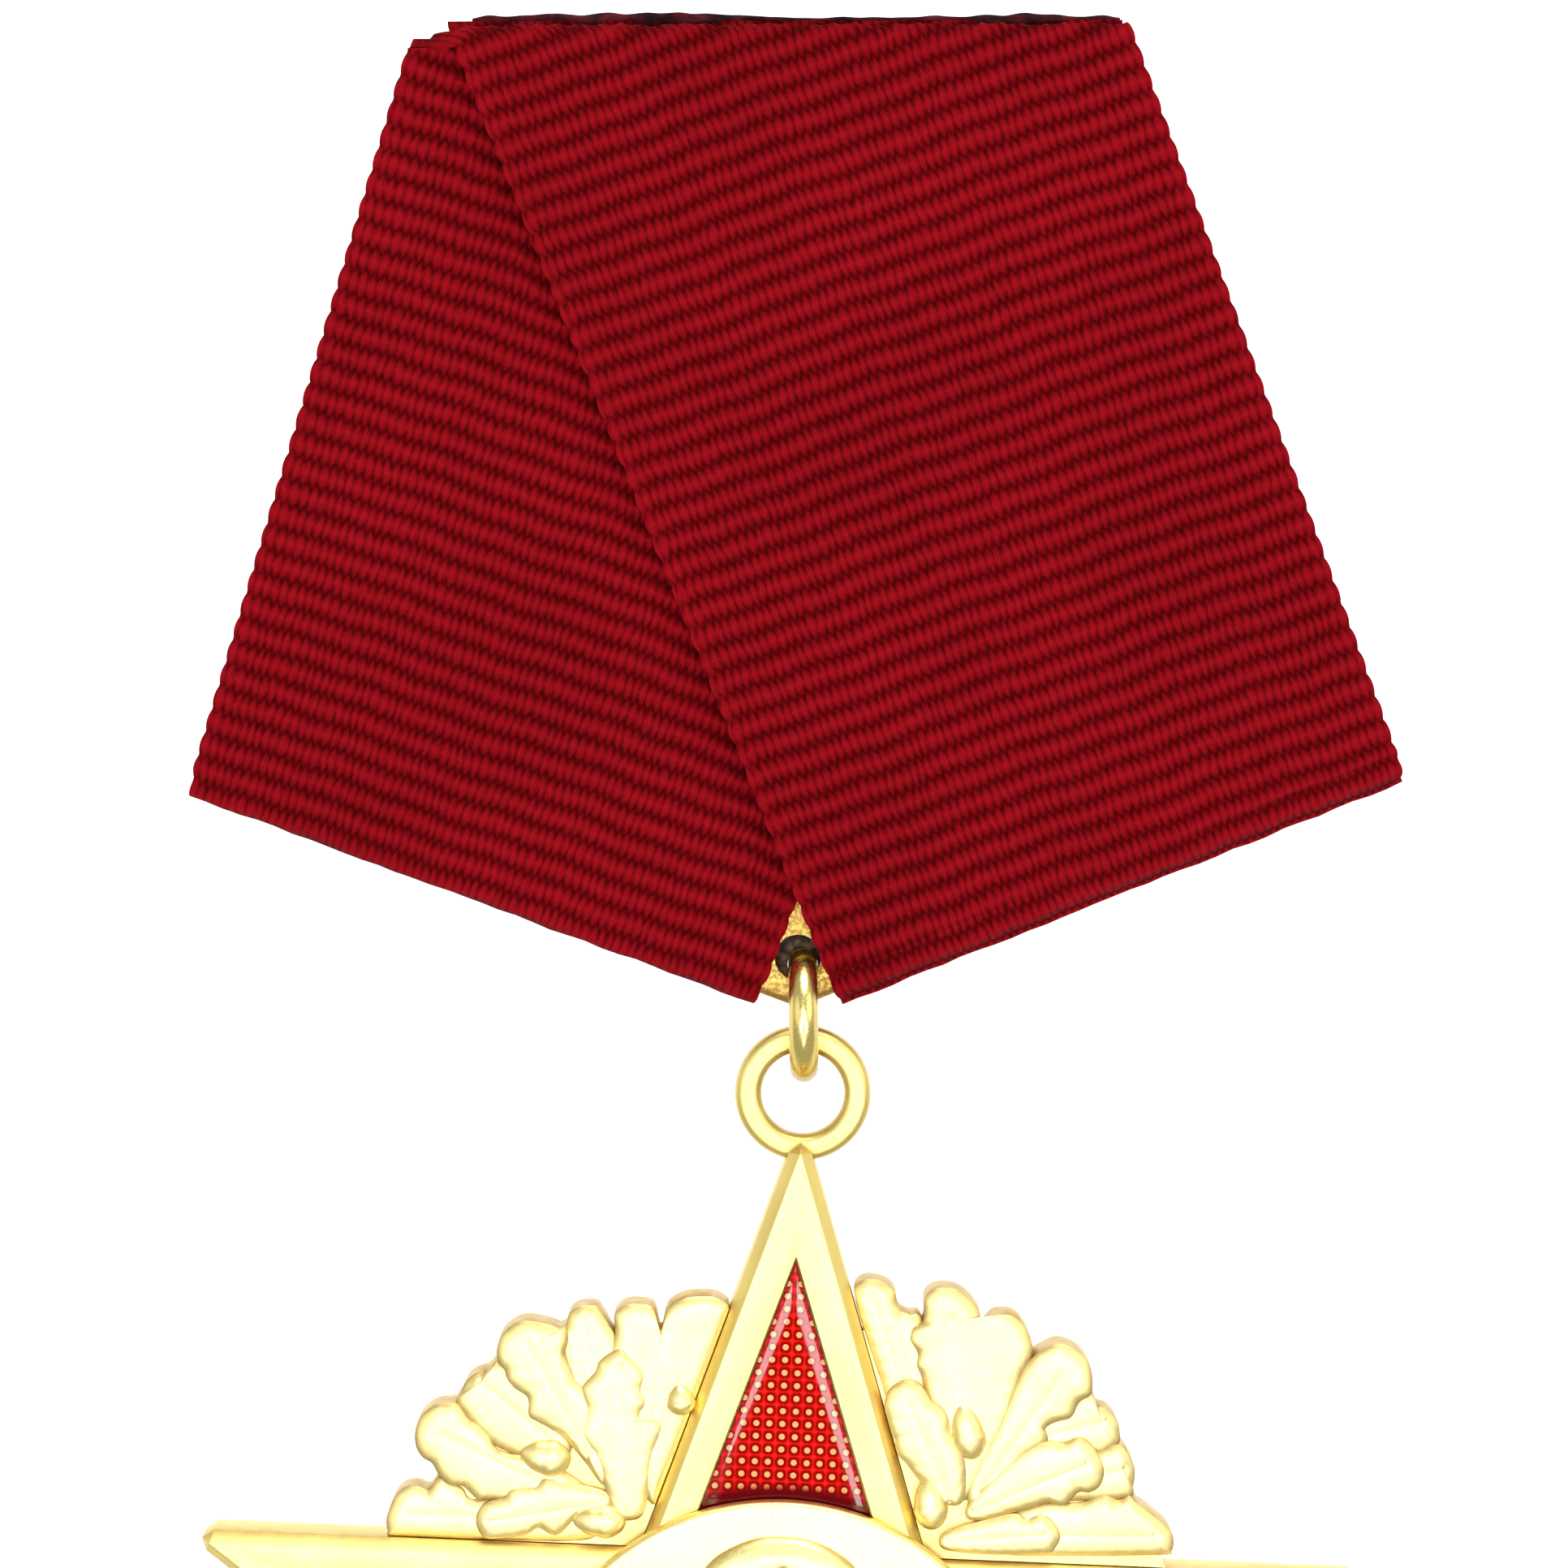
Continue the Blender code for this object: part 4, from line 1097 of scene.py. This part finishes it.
class MEDAL_OT_sealed_end(bpy.types.Operator):
    """Melt the lumpy sealed end along the tail behind the top fold"""

    bl_idname = "medal.sealed_end"
    bl_label = "Sealed end"

    def execute(self, context):
        bead = ringed_solid("sealed_end", [bead_ring(i) for i in range(BEAD_STEPS + 1)])
        smooth(bead, 70.0)
        hand_over(bead, "mount", "ribbon_end_bead", char_material(), "char")
        return {"FINISHED"}


def shade_bush():
    """A dark bush behind the plate's hole, open round the ring, that stands for the shade seen through the
    hole.
    """
    bush = rod("shade_bush", (0.0, HOLE_Z), BUSH_RADIUS, *BUSH_Y)
    opening = rod("opening", (0.0, 0.0), 1.0, -2 * THROUGH, 2 * THROUGH)
    opening.data.transform(Matrix.Diagonal((BUSH_OPENING[0], 1.0, BUSH_OPENING[1], 1.0)))
    opening.data.transform(Matrix.Translation(Vector((RING_X, 0.0, HOLE_Z - BUSH_OPENING_DROP)) * MM))
    cut(bush, opening)
    smooth(bush, 40.0)
    bush.data.materials.append(shade_bush_material())
    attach(bush, "mount")


def polished(cad_node, round_over):
    """A copy of a plain metal part with its edges rounded over."""
    made = copy_piece(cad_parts[cad_node], cad_node + "_polished")
    edit(made)
    bpy.ops.mesh.remove_doubles(threshold=MM * 0.001)
    bpy.ops.mesh.dissolve_limited(angle_limit=math.radians(1.0))
    bpy.ops.object.mode_set(mode="OBJECT")
    soften(made, round_over, 2, 40.0)
    smooth(made, 40.0)
    return made


class MEDAL_OT_pin(bpy.types.Operator):
    """Finish the plate and the pin behind the ribbon in their metals"""

    bl_idname = "medal.pin"
    bl_label = "Pin"

    def execute(self, context):
        brass = gilt_material("pin_brass", settings("star").gold, BRUSHED, times=0.85)
        steel = steel_material()
        finishes = {
            "mount_plate": (plate_material(), "plate"),
            "needle": (steel, "steel"),
            "hinge_rivet": (steel, "steel"),
        }
        for cad_node, (body, round_over) in PIN_PIECES.items():
            finish, slot = finishes.get(cad_node, (brass, "gold"))
            hand_over(polished(cad_node, round_over), body, cad_node, finish, slot)
        shade_bush()
        return {"FINISHED"}


def wire_ring(name, centre):
    """The jump ring of round wire, from a torus."""
    deselect()
    bpy.ops.mesh.primitive_torus_add(major_segments=RING_STEPS, minor_segments=36,
                                     major_radius=RING_RADIUS * MM, minor_radius=RING_WIRE * MM,
                                     rotation=(0.0, math.pi / 2, 0.0), location=Vector(centre) * MM)
    ring = named(name)
    apply_place(ring)
    return ring


def saw_blade(centre):
    """A thin slanted blade that cuts the wire at the back of the ring."""
    deselect()
    bpy.ops.mesh.primitive_cube_add(size=1.0)
    saw = named("saw_blade")
    saw.scale = Vector(SAW_SIZE) * MM
    saw.rotation_euler = (SAW_SLANT, 0.0, 0.0)
    saw.location = Vector((centre[0], centre[1] + RING_RADIUS, centre[2] + SAW_RISE)) * MM
    apply_place(saw)
    return saw


class MEDAL_OT_jump_ring(bpy.types.Operator):
    """Bend the jump ring, with the fine cut where its ends meet"""

    bl_idname = "medal.jump_ring"
    bl_label = "Jump ring"

    def execute(self, context):
        centre = (RING_X, PLATE_Y, RING_PIVOT_Z + RING_RADIUS)
        ring = wire_ring("jump_ring_wire", centre)
        cut(ring, saw_blade(centre))
        soften(ring, 0.03, 1, 50.0)
        smooth(ring, 40.0)
        # Painted shade on the wire's flanks, and darker towards the ring's lower end.
        places = spots(ring)
        beside = fade(np.abs(places[:, 0] - RING_X) / RING_WIRE, 0.6, 1.0)
        low = fade(places[:, 2], RING_PIVOT_Z + 0.4, RING_PIVOT_Z - 0.4)
        store_painted_shade(ring, np.clip(0.8 * (beside + low), 0.0, 1.0))
        finish = gilt_material("ring_gilt", settings("star").gold, BRIGHT, times=0.94, depth=0.004)
        hand_over(ring, "ring_body", "jump_ring", finish, "gold")
        return {"FINISHED"}


def turned(outline, degrees):
    """An outline turned to the left about the star's centre."""
    c, s = math.cos(math.radians(degrees)), math.sin(math.radians(degrees))
    return [(x * c - z * s, x * s + z * c) for x, z in outline]


def star_outline(inset):
    """Corners of the star with blunt, roofed tips, moved inwards by inset."""
    outer = STAR_TIP - inset / math.sin(ARM_HALF)
    inner = STAR_INNER - inset / math.sin(NOTCH_AT)
    end = min(STAR_BLUNT - 0.15, outer - 0.1)
    half = (outer - end) * math.tan(ARM_HALF)
    notch = (inner * math.cos(NOTCH_AT), inner * math.sin(NOTCH_AT))
    arm = [(half, end), (0.0, end + TIP_ROOF * half), (-half, end), notch]
    return [corner for i in range(ARMS) for corner in turned(arm, ARM_STEP_DEG * i)]


def field_outline(inset):
    """One enamel field on the top arm, moved inwards by inset."""
    apex = FIELD_APEX - inset / math.sin(FIELD_HALF)
    base = FIELD_BASE + inset
    width = (apex - base) * math.tan(FIELD_HALF)
    return [(0.0, apex), (-width, base), (width, base)]


def star_cutters():
    """Closed shapes cut from the star: five fields, the stud's hole and seat, and the loop's seat."""
    for i in range(ARMS):
        field = turned(field_outline(0.0), ARM_STEP_DEG * i)
        yield layers("field", [(FIELD_FLOOR, field), (STAR_FRONT - 1.0, field)])
    yield rod("stud_hole", (0.0, 0.0), STUD_SHANK + STUD_CLEAR, -THROUGH, THROUGH)
    yield rod("stud_seat", (0.0, 0.0), STUD_HEAD + STUD_CLEAR, STUD_HEAD_Y[0] - STUD_CLEAR, THROUGH)
    yield rod("loop_seat", (0.0, EYELET_RISE), LOOP_RADIUS + LOOP_SEAT, LOOP_SEAT_Y, THROUGH)


def star_painted_shade(star):
    """Painted shade on the star: on its walls, and down its bevels, most where they face up."""
    edge = STAR_FRONT + BEVEL_DEPTH + 0.03
    depth = spots(star)[:, 1]
    upward = np.array([v.normal.z for v in star.data.vertices])
    bevels = fade(depth, STAR_FRONT, edge) * (0.3 + 0.45 * fade(upward, 0.4, 0.7))
    return np.where(depth < edge, bevels, 0.7 * fade(depth, STAR_BACK, edge))


def cast_loop(name):
    """The cast loop: a square with rounded corners, spun about the Y axis through its centre."""
    deselect()
    bpy.ops.mesh.primitive_plane_add(size=MM, location=Vector((LOOP_RADIUS, 0.0, EYELET_RISE)) * MM)
    loop = named(name)
    loop.scale = (LOOP_WIDE, LOOP_DEEP, 1.0)
    apply_place(loop)
    edit(loop)
    bpy.ops.mesh.bevel(offset=LOOP_CORNER * MM, segments=7, affect="VERTICES")
    bpy.ops.mesh.select_all(action="SELECT")
    bpy.ops.mesh.delete(type="ONLY_FACE")
    bpy.ops.mesh.select_all(action="SELECT")
    bpy.ops.mesh.spin(steps=RING_STEPS, angle=2 * math.pi, center=Vector((0.0, 0.0, EYELET_RISE)) * MM,
                      axis=(0.0, 1.0, 0.0))
    bpy.ops.mesh.select_all(action="SELECT")
    bpy.ops.mesh.remove_doubles(threshold=MM * 0.001)
    bpy.ops.mesh.normals_make_consistent(inside=False)
    bpy.ops.object.mode_set(mode="OBJECT")
    return loop


def loop_painted_shade(loop):
    """Painted shade on the loop: strong inside its hole, weaker round its outside."""
    places = spots(loop)
    away = np.hypot(places[:, 0], places[:, 2] - EYELET_RISE) - LOOP_RADIUS
    return 0.85 * fade(away, -0.3, -0.5) + 0.45 * fade(away, 0.38, 0.54)


class MEDAL_OT_star(bpy.types.Operator):
    """Strike the star: bevelled arms with a sunk field in each, and the loop on its top point"""

    bl_idname = "medal.star"
    bl_label = "Star"

    def execute(self, context):
        look = settings("star")
        whole, top = star_outline(0.0), star_outline(in_mm(look.bevel))
        depths = (STAR_BACK, STAR_FRONT + BEVEL_DEPTH, STAR_FRONT)
        star = layers("star_plate", list(zip(depths, (whole, whole, top))))
        for cutter in star_cutters():
            cut(star, cutter)
        soften(star, in_mm(look.soft_edge), 3, 25.0)
        smooth(star, 30.0)
        store_painted_shade(star, star_painted_shade(star))
        hang_on_star(star, "star_body", gilt_material("star_gilt", look.gold, SATIN))
        loop = cast_loop("star_loop")
        smooth(loop, 60.0)
        store_painted_shade(loop, loop_painted_shade(loop))
        hang_on_star(loop, "star_eyelet", gilt_material("loop_gilt", look.gold, SATIN, times=0.92))
        return {"FINISHED"}


def divided(outline, steps):
    """The same outline with each side divided into steps."""
    p = np.asarray(outline, float)
    shares = np.linspace(0.0, 1.0, steps, endpoint=False)
    return [tuple(a + (b - a) * t) for a, b in zip(p, np.roll(p, -1, 0)) for t in shares]


def enamel_field(name):
    """The enamel of the top arm, with a surface map on its plan."""
    steps = [(FIELD_FLOOR - ENAMEL_GAP, ENAMEL_GAP)]
    steps += [(ENAMEL_FRONT - lift, ENAMEL_GAP + inset) for inset, lift in ENAMEL_RISE]
    field = layers(name, [(y, divided(field_outline(inset), ENAMEL_STEPS)) for y, inset in steps])
    store_uv(field, spots(field)[:, [0, 2]])
    smooth(field, 40.0)
    return field


class MEDAL_OT_enamel(bpy.types.Operator):
    """Fire the enamel fields, each drawn up a little at its walls"""

    bl_idname = "medal.enamel"
    bl_label = "Enamel"

    def execute(self, context):
        glass = enamel_material()
        model = enamel_field("enamel_field")
        for i, name in enumerate(ARM_NAMES):
            field = copy_piece(model, "enamel_field_" + name)
            hang_on_star(field, "enamel_" + name, glass, "enamel", ARM_STEP_DEG * i)
        bpy.data.objects.remove(model)
        return {"FINISHED"}


def smooth_outline(corners, count):
    """Points evenly spaced on a closed smooth curve through the corners."""
    p = np.asarray(corners, float)
    before, after, later = np.roll(p, 1, 0), np.roll(p, -1, 0), np.roll(p, -2, 0)
    dense = []
    for t in np.linspace(0.0, 1.0, 12, endpoint=False):
        bend = (2 * before - 5 * p + 4 * after - later) * t**2
        twist = (3 * p - before - 3 * after + later) * t**3
        dense.append(0.5 * (2 * p + (after - before) * t + bend + twist))
    curve = np.stack(dense, 1).reshape(-1, 2)
    closed = np.vstack([curve, curve[:1]])
    along = np.concatenate([[0.0], np.cumsum(np.linalg.norm(np.diff(closed, axis=0), axis=1))])
    places = np.linspace(0.0, along[-1], count, endpoint=False)
    return np.stack([np.interp(places, along, closed[:, k]) for k in (0, 1)], 1)


def clear_of_arms(rim, mirror):
    """An outline pushed out of both arms beside it. Mirror is 1 left of the top arm and -1 right of it."""
    for side in ((0.0, 1.0), (mirror * math.cos(ARM_NORMAL), math.sin(ARM_NORMAL))):
        short = np.maximum(ARM_SIDE - rim @ np.array(side), 0.0)
        rim = rim + short[:, None] * np.array(side)
    return rim


def leaf_solid(name, rim, stalk, tip, back, front, dome, groove, vein):
    """A lobed leaf within its rim, with a crowned front, rounded margins, veins and a sunk midrib, and
    painted shade on its back, margins and midrib.
    """
    rib = np.array(tip) - np.array(stalk)
    along = np.clip((rim - stalk) @ rib / (rib @ rib), 0.03, 0.97)
    foot = np.array(stalk) + along[:, None] * rib
    reach = np.linalg.norm(foot - rim, axis=1)
    outer = fade(np.linalg.norm(rim, axis=1), 13.5, 17.0)
    rings = [np.stack([rim[:, 0], np.full(len(rim), back), rim[:, 1]], 1)]
    shades = [np.full(len(rim), BACK_SHADE)]
    for share in LEAF_SHARES:
        place = rim + (foot - rim) * share
        inside, left = reach * share, reach * (1.0 - share)
        bow = np.sin(math.pi * share)
        veins = 0.5 + 0.5 * np.cos(2 * math.pi * (VEINS * along + VEIN_SLANT * share))
        crown = dome * (1.0 - np.exp(-inside / LEAF_MARGIN) + 0.10 * bow)
        crown = crown - groove * hump(left, MIDRIB_WIDTH) - vein * veins**6 * bow
        rings.append(np.stack([place[:, 0], front - crown, place[:, 1]], 1))
        # Painted shade: darker at the margins and along the midrib, more so towards the spray's outer rim.
        tone = 0.65 * np.exp(-inside / 0.06) + 0.1 * hump(left, 0.1)
        tone = tone + (0.12 + 0.3 * outer) * np.exp(-inside / 0.35)
        shades.append(np.clip(tone, 0.0, 1.0))
    leaf = ringed_solid(name, rings)
    store_painted_shade(leaf, np.concatenate(shades))
    return leaf


def acorn(name, x, z, long, short, lie_deg):
    """An acorn lying on the leaves: a pointed nut in a scaled cup, with painted shade at the cup's rim and
    on its back half.
    """
    deselect()
    bpy.ops.mesh.primitive_uv_sphere_add(segments=28, ring_count=18, radius=1.0)
    nut = named(name)
    shades = []
    for corner in nut.data.vertices:
        a, b, c = corner.co
        cup = 1.0 / (1.0 + math.exp((c - CUP_EDGE) / 0.035))
        scales = math.sin(14 * math.atan2(b, a) + 9 * c) * math.sin(16 * c)
        swell = 1.0 + cup * (0.13 + 0.02 * scales)
        point = 0.10 * hump(c - 1.0, 0.12)
        corner.co = Vector((a * short * swell, b * ACORN_DEEP * swell, c * long + point)) * MM
        # Painted shade at the cup's rim and over the half that faces the star.
        shades.append(0.35 * hump(c - CUP_EDGE, 0.05) + (0.4 if b > -0.05 else 0.0))
    store_painted_shade(nut, shades)
    lay = Matrix.Translation(Vector((x, ACORN_Y, z)) * MM)
    nut.data.transform(lay @ Matrix.Rotation(math.radians(90.0 - lie_deg), 4, "Y"))
    return nut


def spray_ground(name, mirror):
    """The plain ground behind the leaves, between the two arms."""
    first = math.pi - math.asin(ARM_SIDE / GROUND_REACH)
    last = ARM_NORMAL - math.acos(ARM_SIDE / GROUND_REACH)
    corners = [(-ARM_SIDE * math.tan(2 * ARM_HALF), ARM_SIDE)]
    turns = np.linspace(first, last, 40)
    corners += [(GROUND_REACH * math.cos(t), GROUND_REACH * math.sin(t)) for t in turns]
    corners = [(x * mirror, z) for x, z in corners]
    ground = layers(name, [(SPRAY_BACK, corners), (SPRAY_FRONT, corners)])
    # Painted shade: some on the ground's front, more on its back.
    store_painted_shade(ground, np.repeat((BACK_SHADE, GROUND_SHADE), len(corners)))
    return ground


def oak_spray(name, leaves, acorns, mirror):
    """One spray beside the top arm, leaf over leaf, with its acorns."""
    pieces = [spray_ground("ground", mirror)]
    for i, (layer, stalk, tip, corners) in enumerate(leaves):
        rim = clear_of_arms(smooth_outline(corners, settings("star").leaf_points), mirror)
        back, front = LEAF_BACK - LEAF_BACK_STEP * i, SPRAY_FRONT - LEAF_STEP * layer
        pieces.append(leaf_solid("leaf", rim, stalk, tip, back, front, LEAF_DOME, LEAF_GROOVE, LEAF_VEIN))
    pieces += [acorn("acorn", *sizes) for sizes in acorns]
    spray = join(pieces, name)
    smooth(spray, 50.0)
    return spray


class MEDAL_OT_leaves(bpy.types.Operator):
    """Chase the oak sprays between the arms, leaf over leaf, with their acorns"""

    bl_idname = "medal.leaves"
    bl_label = "Leaves"

    def execute(self, context):
        gold = gilt_material("leaf_gilt", settings("star").highlight_gold, SATIN, depth=0.01)
        models = {"a": oak_spray("spray_a", SPRAY_A, ACORNS_A, 1.0),
                  "b": oak_spray("spray_b", SPRAY_B, ACORNS_B, -1.0)}
        for place, kind, turn_deg in SPRAYS:
            spray = copy_piece(models[kind], "oak_spray_" + place)
            hang_on_star(spray, "leaves_" + place, gold, turn_deg=turn_deg)
        for model in models.values():
            bpy.data.objects.remove(model)
        return {"FINISHED"}


def medallion_disc(name):
    """The flat disc, with its front edge rounded."""
    front = DISC_BACK - DISC_THICK
    disc = rod(name, (0.0, 0.0), DISC_RADIUS, DISC_BACK, front, DISC_STEPS)
    round_rim(disc, lambda place: place.y < front + HAIR, DISC_ROUND)
    smooth(disc, 35.0)
    return disc


def oak_relief(name):
    """The oak leaf in relief on the disc."""
    corners = list(EMBLEM_HALF) + [(-x, z) for x, z in reversed(EMBLEM_HALF[1:])]
    leaf = leaf_solid(name, smooth_outline(corners, EMBLEM_POINTS), EMBLEM_STALK, EMBLEM_TIP, EMBLEM_BACK,
                      EMBLEM_FRONT, EMBLEM_DOME, EMBLEM_GROOVE, EMBLEM_VEIN)
    smooth(leaf, 50.0)
    return leaf


def medallion_stud(name):
    """The stud that holds the disc: a flat head, drawn out into a shank that reaches the disc."""
    near, far = STUD_HEAD_Y
    stud = rod(name, (0.0, 0.0), STUD_HEAD, near, far)
    pick(stud, "FACE", lambda place: place.y < near + HAIR)
    bpy.ops.mesh.inset(thickness=(STUD_HEAD - STUD_SHANK) * MM)
    shank = (DISC_BACK - DISC_THICK / 2 - near) * MM
    bpy.ops.mesh.extrude_region_move(TRANSFORM_OT_translate={"value": (0.0, shank, 0.0)})
    bpy.ops.object.mode_set(mode="OBJECT")
    round_rim(stud, lambda place: place.y > far - HAIR, STUD_ROUND)
    smooth(stud, 30.0)
    return stud


class MEDAL_OT_medallion(bpy.types.Operator):
    """Turn the medallion's disc and lay the oak leaf in relief on it"""

    bl_idname = "medal.medallion"
    bl_label = "Medallion"

    def execute(self, context):
        gold = gilt_material("medallion_gilt", settings("star").highlight_gold, SATIN)
        hang_on_star(medallion_disc("medallion_plate"), "medallion_disc", gold)
        hang_on_star(oak_relief("oak_relief"), "medallion_emblem", gold)
        hang_on_star(medallion_stud("medallion_stud"), "medallion_rivet", gold)
        return {"FINISHED"}


def backdrop(name, size, place, tilt, glow):
    """One plain sheet of the stage."""
    deselect()
    bpy.ops.mesh.primitive_plane_add(size=size, location=place, rotation=(tilt, 0.0, 0.0))
    sheet = named(name)
    sheet.data.materials.append(stage_material(name, glow))
    return sheet


def soft_box(name, place, size, power):
    """A round soft light, aimed at the medal."""
    data = bpy.data.lights.new(name, "AREA")
    data.shape = "DISK"
    data.size = size
    data.energy = power
    lamp = bpy.data.objects.new(name, data)
    bpy.context.scene.collection.objects.link(lamp)
    lamp.location = place
    lamp.rotation_euler = (Vector(LIGHT_AIM) - Vector(place)).to_track_quat("-Z", "Y").to_euler()
    lamp.visible_camera = False


def soft_world():
    world = bpy.data.worlds.new("studio")
    world.use_nodes = True
    sky = world.node_tree.nodes["Background"]
    sky.inputs["Color"].default_value = WORLD_COLOUR
    sky.inputs["Strength"].default_value = WORLD_STRENGTH
    return world


def front_camera():
    """The camera in front of the medal, a little raised."""
    look = settings("stage")
    back = Vector((0.0, -math.cos(look.elevation), math.sin(look.elevation)))
    data = bpy.data.cameras.new("camera")
    data.lens = data.sensor_width * look.distance / look.view
    data.clip_start = 0.005
    camera = bpy.data.objects.new("camera", data)
    bpy.context.scene.collection.objects.link(camera)
    aim = (-back).to_track_quat("-Z", "Y").to_matrix().to_4x4()
    place = Matrix.Translation(Vector(CAMERA_TARGET) + back * look.distance)
    camera.matrix_world = place @ aim @ Matrix.Rotation(-look.roll, 4, "Z")
    return camera


class MEDAL_OT_stage(bpy.types.Operator):
    """Set the pale stage, the soft light and the camera"""

    bl_idname = "medal.stage"
    bl_label = "Stage"

    def execute(self, context):
        scene = bpy.context.scene
        floor = backdrop("stage_floor", FLOOR_SIZE, (0.0, 0.0, FLOOR_Z), 0.0, FLOOR_GLOW)
        wall = backdrop("stage_wall", WALL_SIZE, (0.0, WALL_Y, 0.0), math.pi / 2, WALL_GLOW)
        floor.visible_glossy = False
        scene.world = soft_world()
        for name, (place, size, power) in LIGHTS.items():
            soft_box(name, place, size, power)
        scene.camera = front_camera()
        scene.view_settings.view_transform = "Standard"
        return {"FINISHED"}


class MEDAL_PT_pieces(bpy.types.Panel):
    """Lists the steps of the medal and its settings"""

    bl_label = "Service medal"
    bl_space_type = "VIEW_3D"
    bl_region_type = "UI"
    bl_category = "Medal"

    def draw(self, context):
        for step in STEPS:
            self.layout.operator(step.bl_idname)
        for kind, group in SETTINGS.items():
            box = self.layout.box()
            for name in group.__annotations__:
                box.prop(settings(kind), name)


STEPS = (MEDAL_OT_stage, MEDAL_OT_ribbon, MEDAL_OT_sealed_end, MEDAL_OT_pin, MEDAL_OT_jump_ring,
         MEDAL_OT_star, MEDAL_OT_enamel, MEDAL_OT_leaves, MEDAL_OT_medallion)
CLASSES = (*SETTINGS.values(), *STEPS, MEDAL_PT_pieces)


def register():
    """Registers the classes and hangs the settings on the scene."""
    for kind in CLASSES:
        bpy.utils.register_class(kind)
    for kind, group in SETTINGS.items():
        setattr(bpy.types.Scene, "medal_" + kind, PointerProperty(type=group))


def unregister():
    """Takes the settings and the classes away again."""
    for kind in SETTINGS:
        delattr(bpy.types.Scene, "medal_" + kind)
    for kind in reversed(CLASSES):
        bpy.utils.unregister_class(kind)


def main():
    """Builds the stage and all pieces in order."""
    register()
    bpy.ops.medal.stage()
    bpy.ops.medal.ribbon()
    bpy.ops.medal.sealed_end()
    bpy.ops.medal.pin()
    bpy.ops.medal.jump_ring()
    bpy.ops.medal.star()
    bpy.ops.medal.enamel()
    bpy.ops.medal.leaves()
    bpy.ops.medal.medallion()


if __name__ == "__main__":
    main()
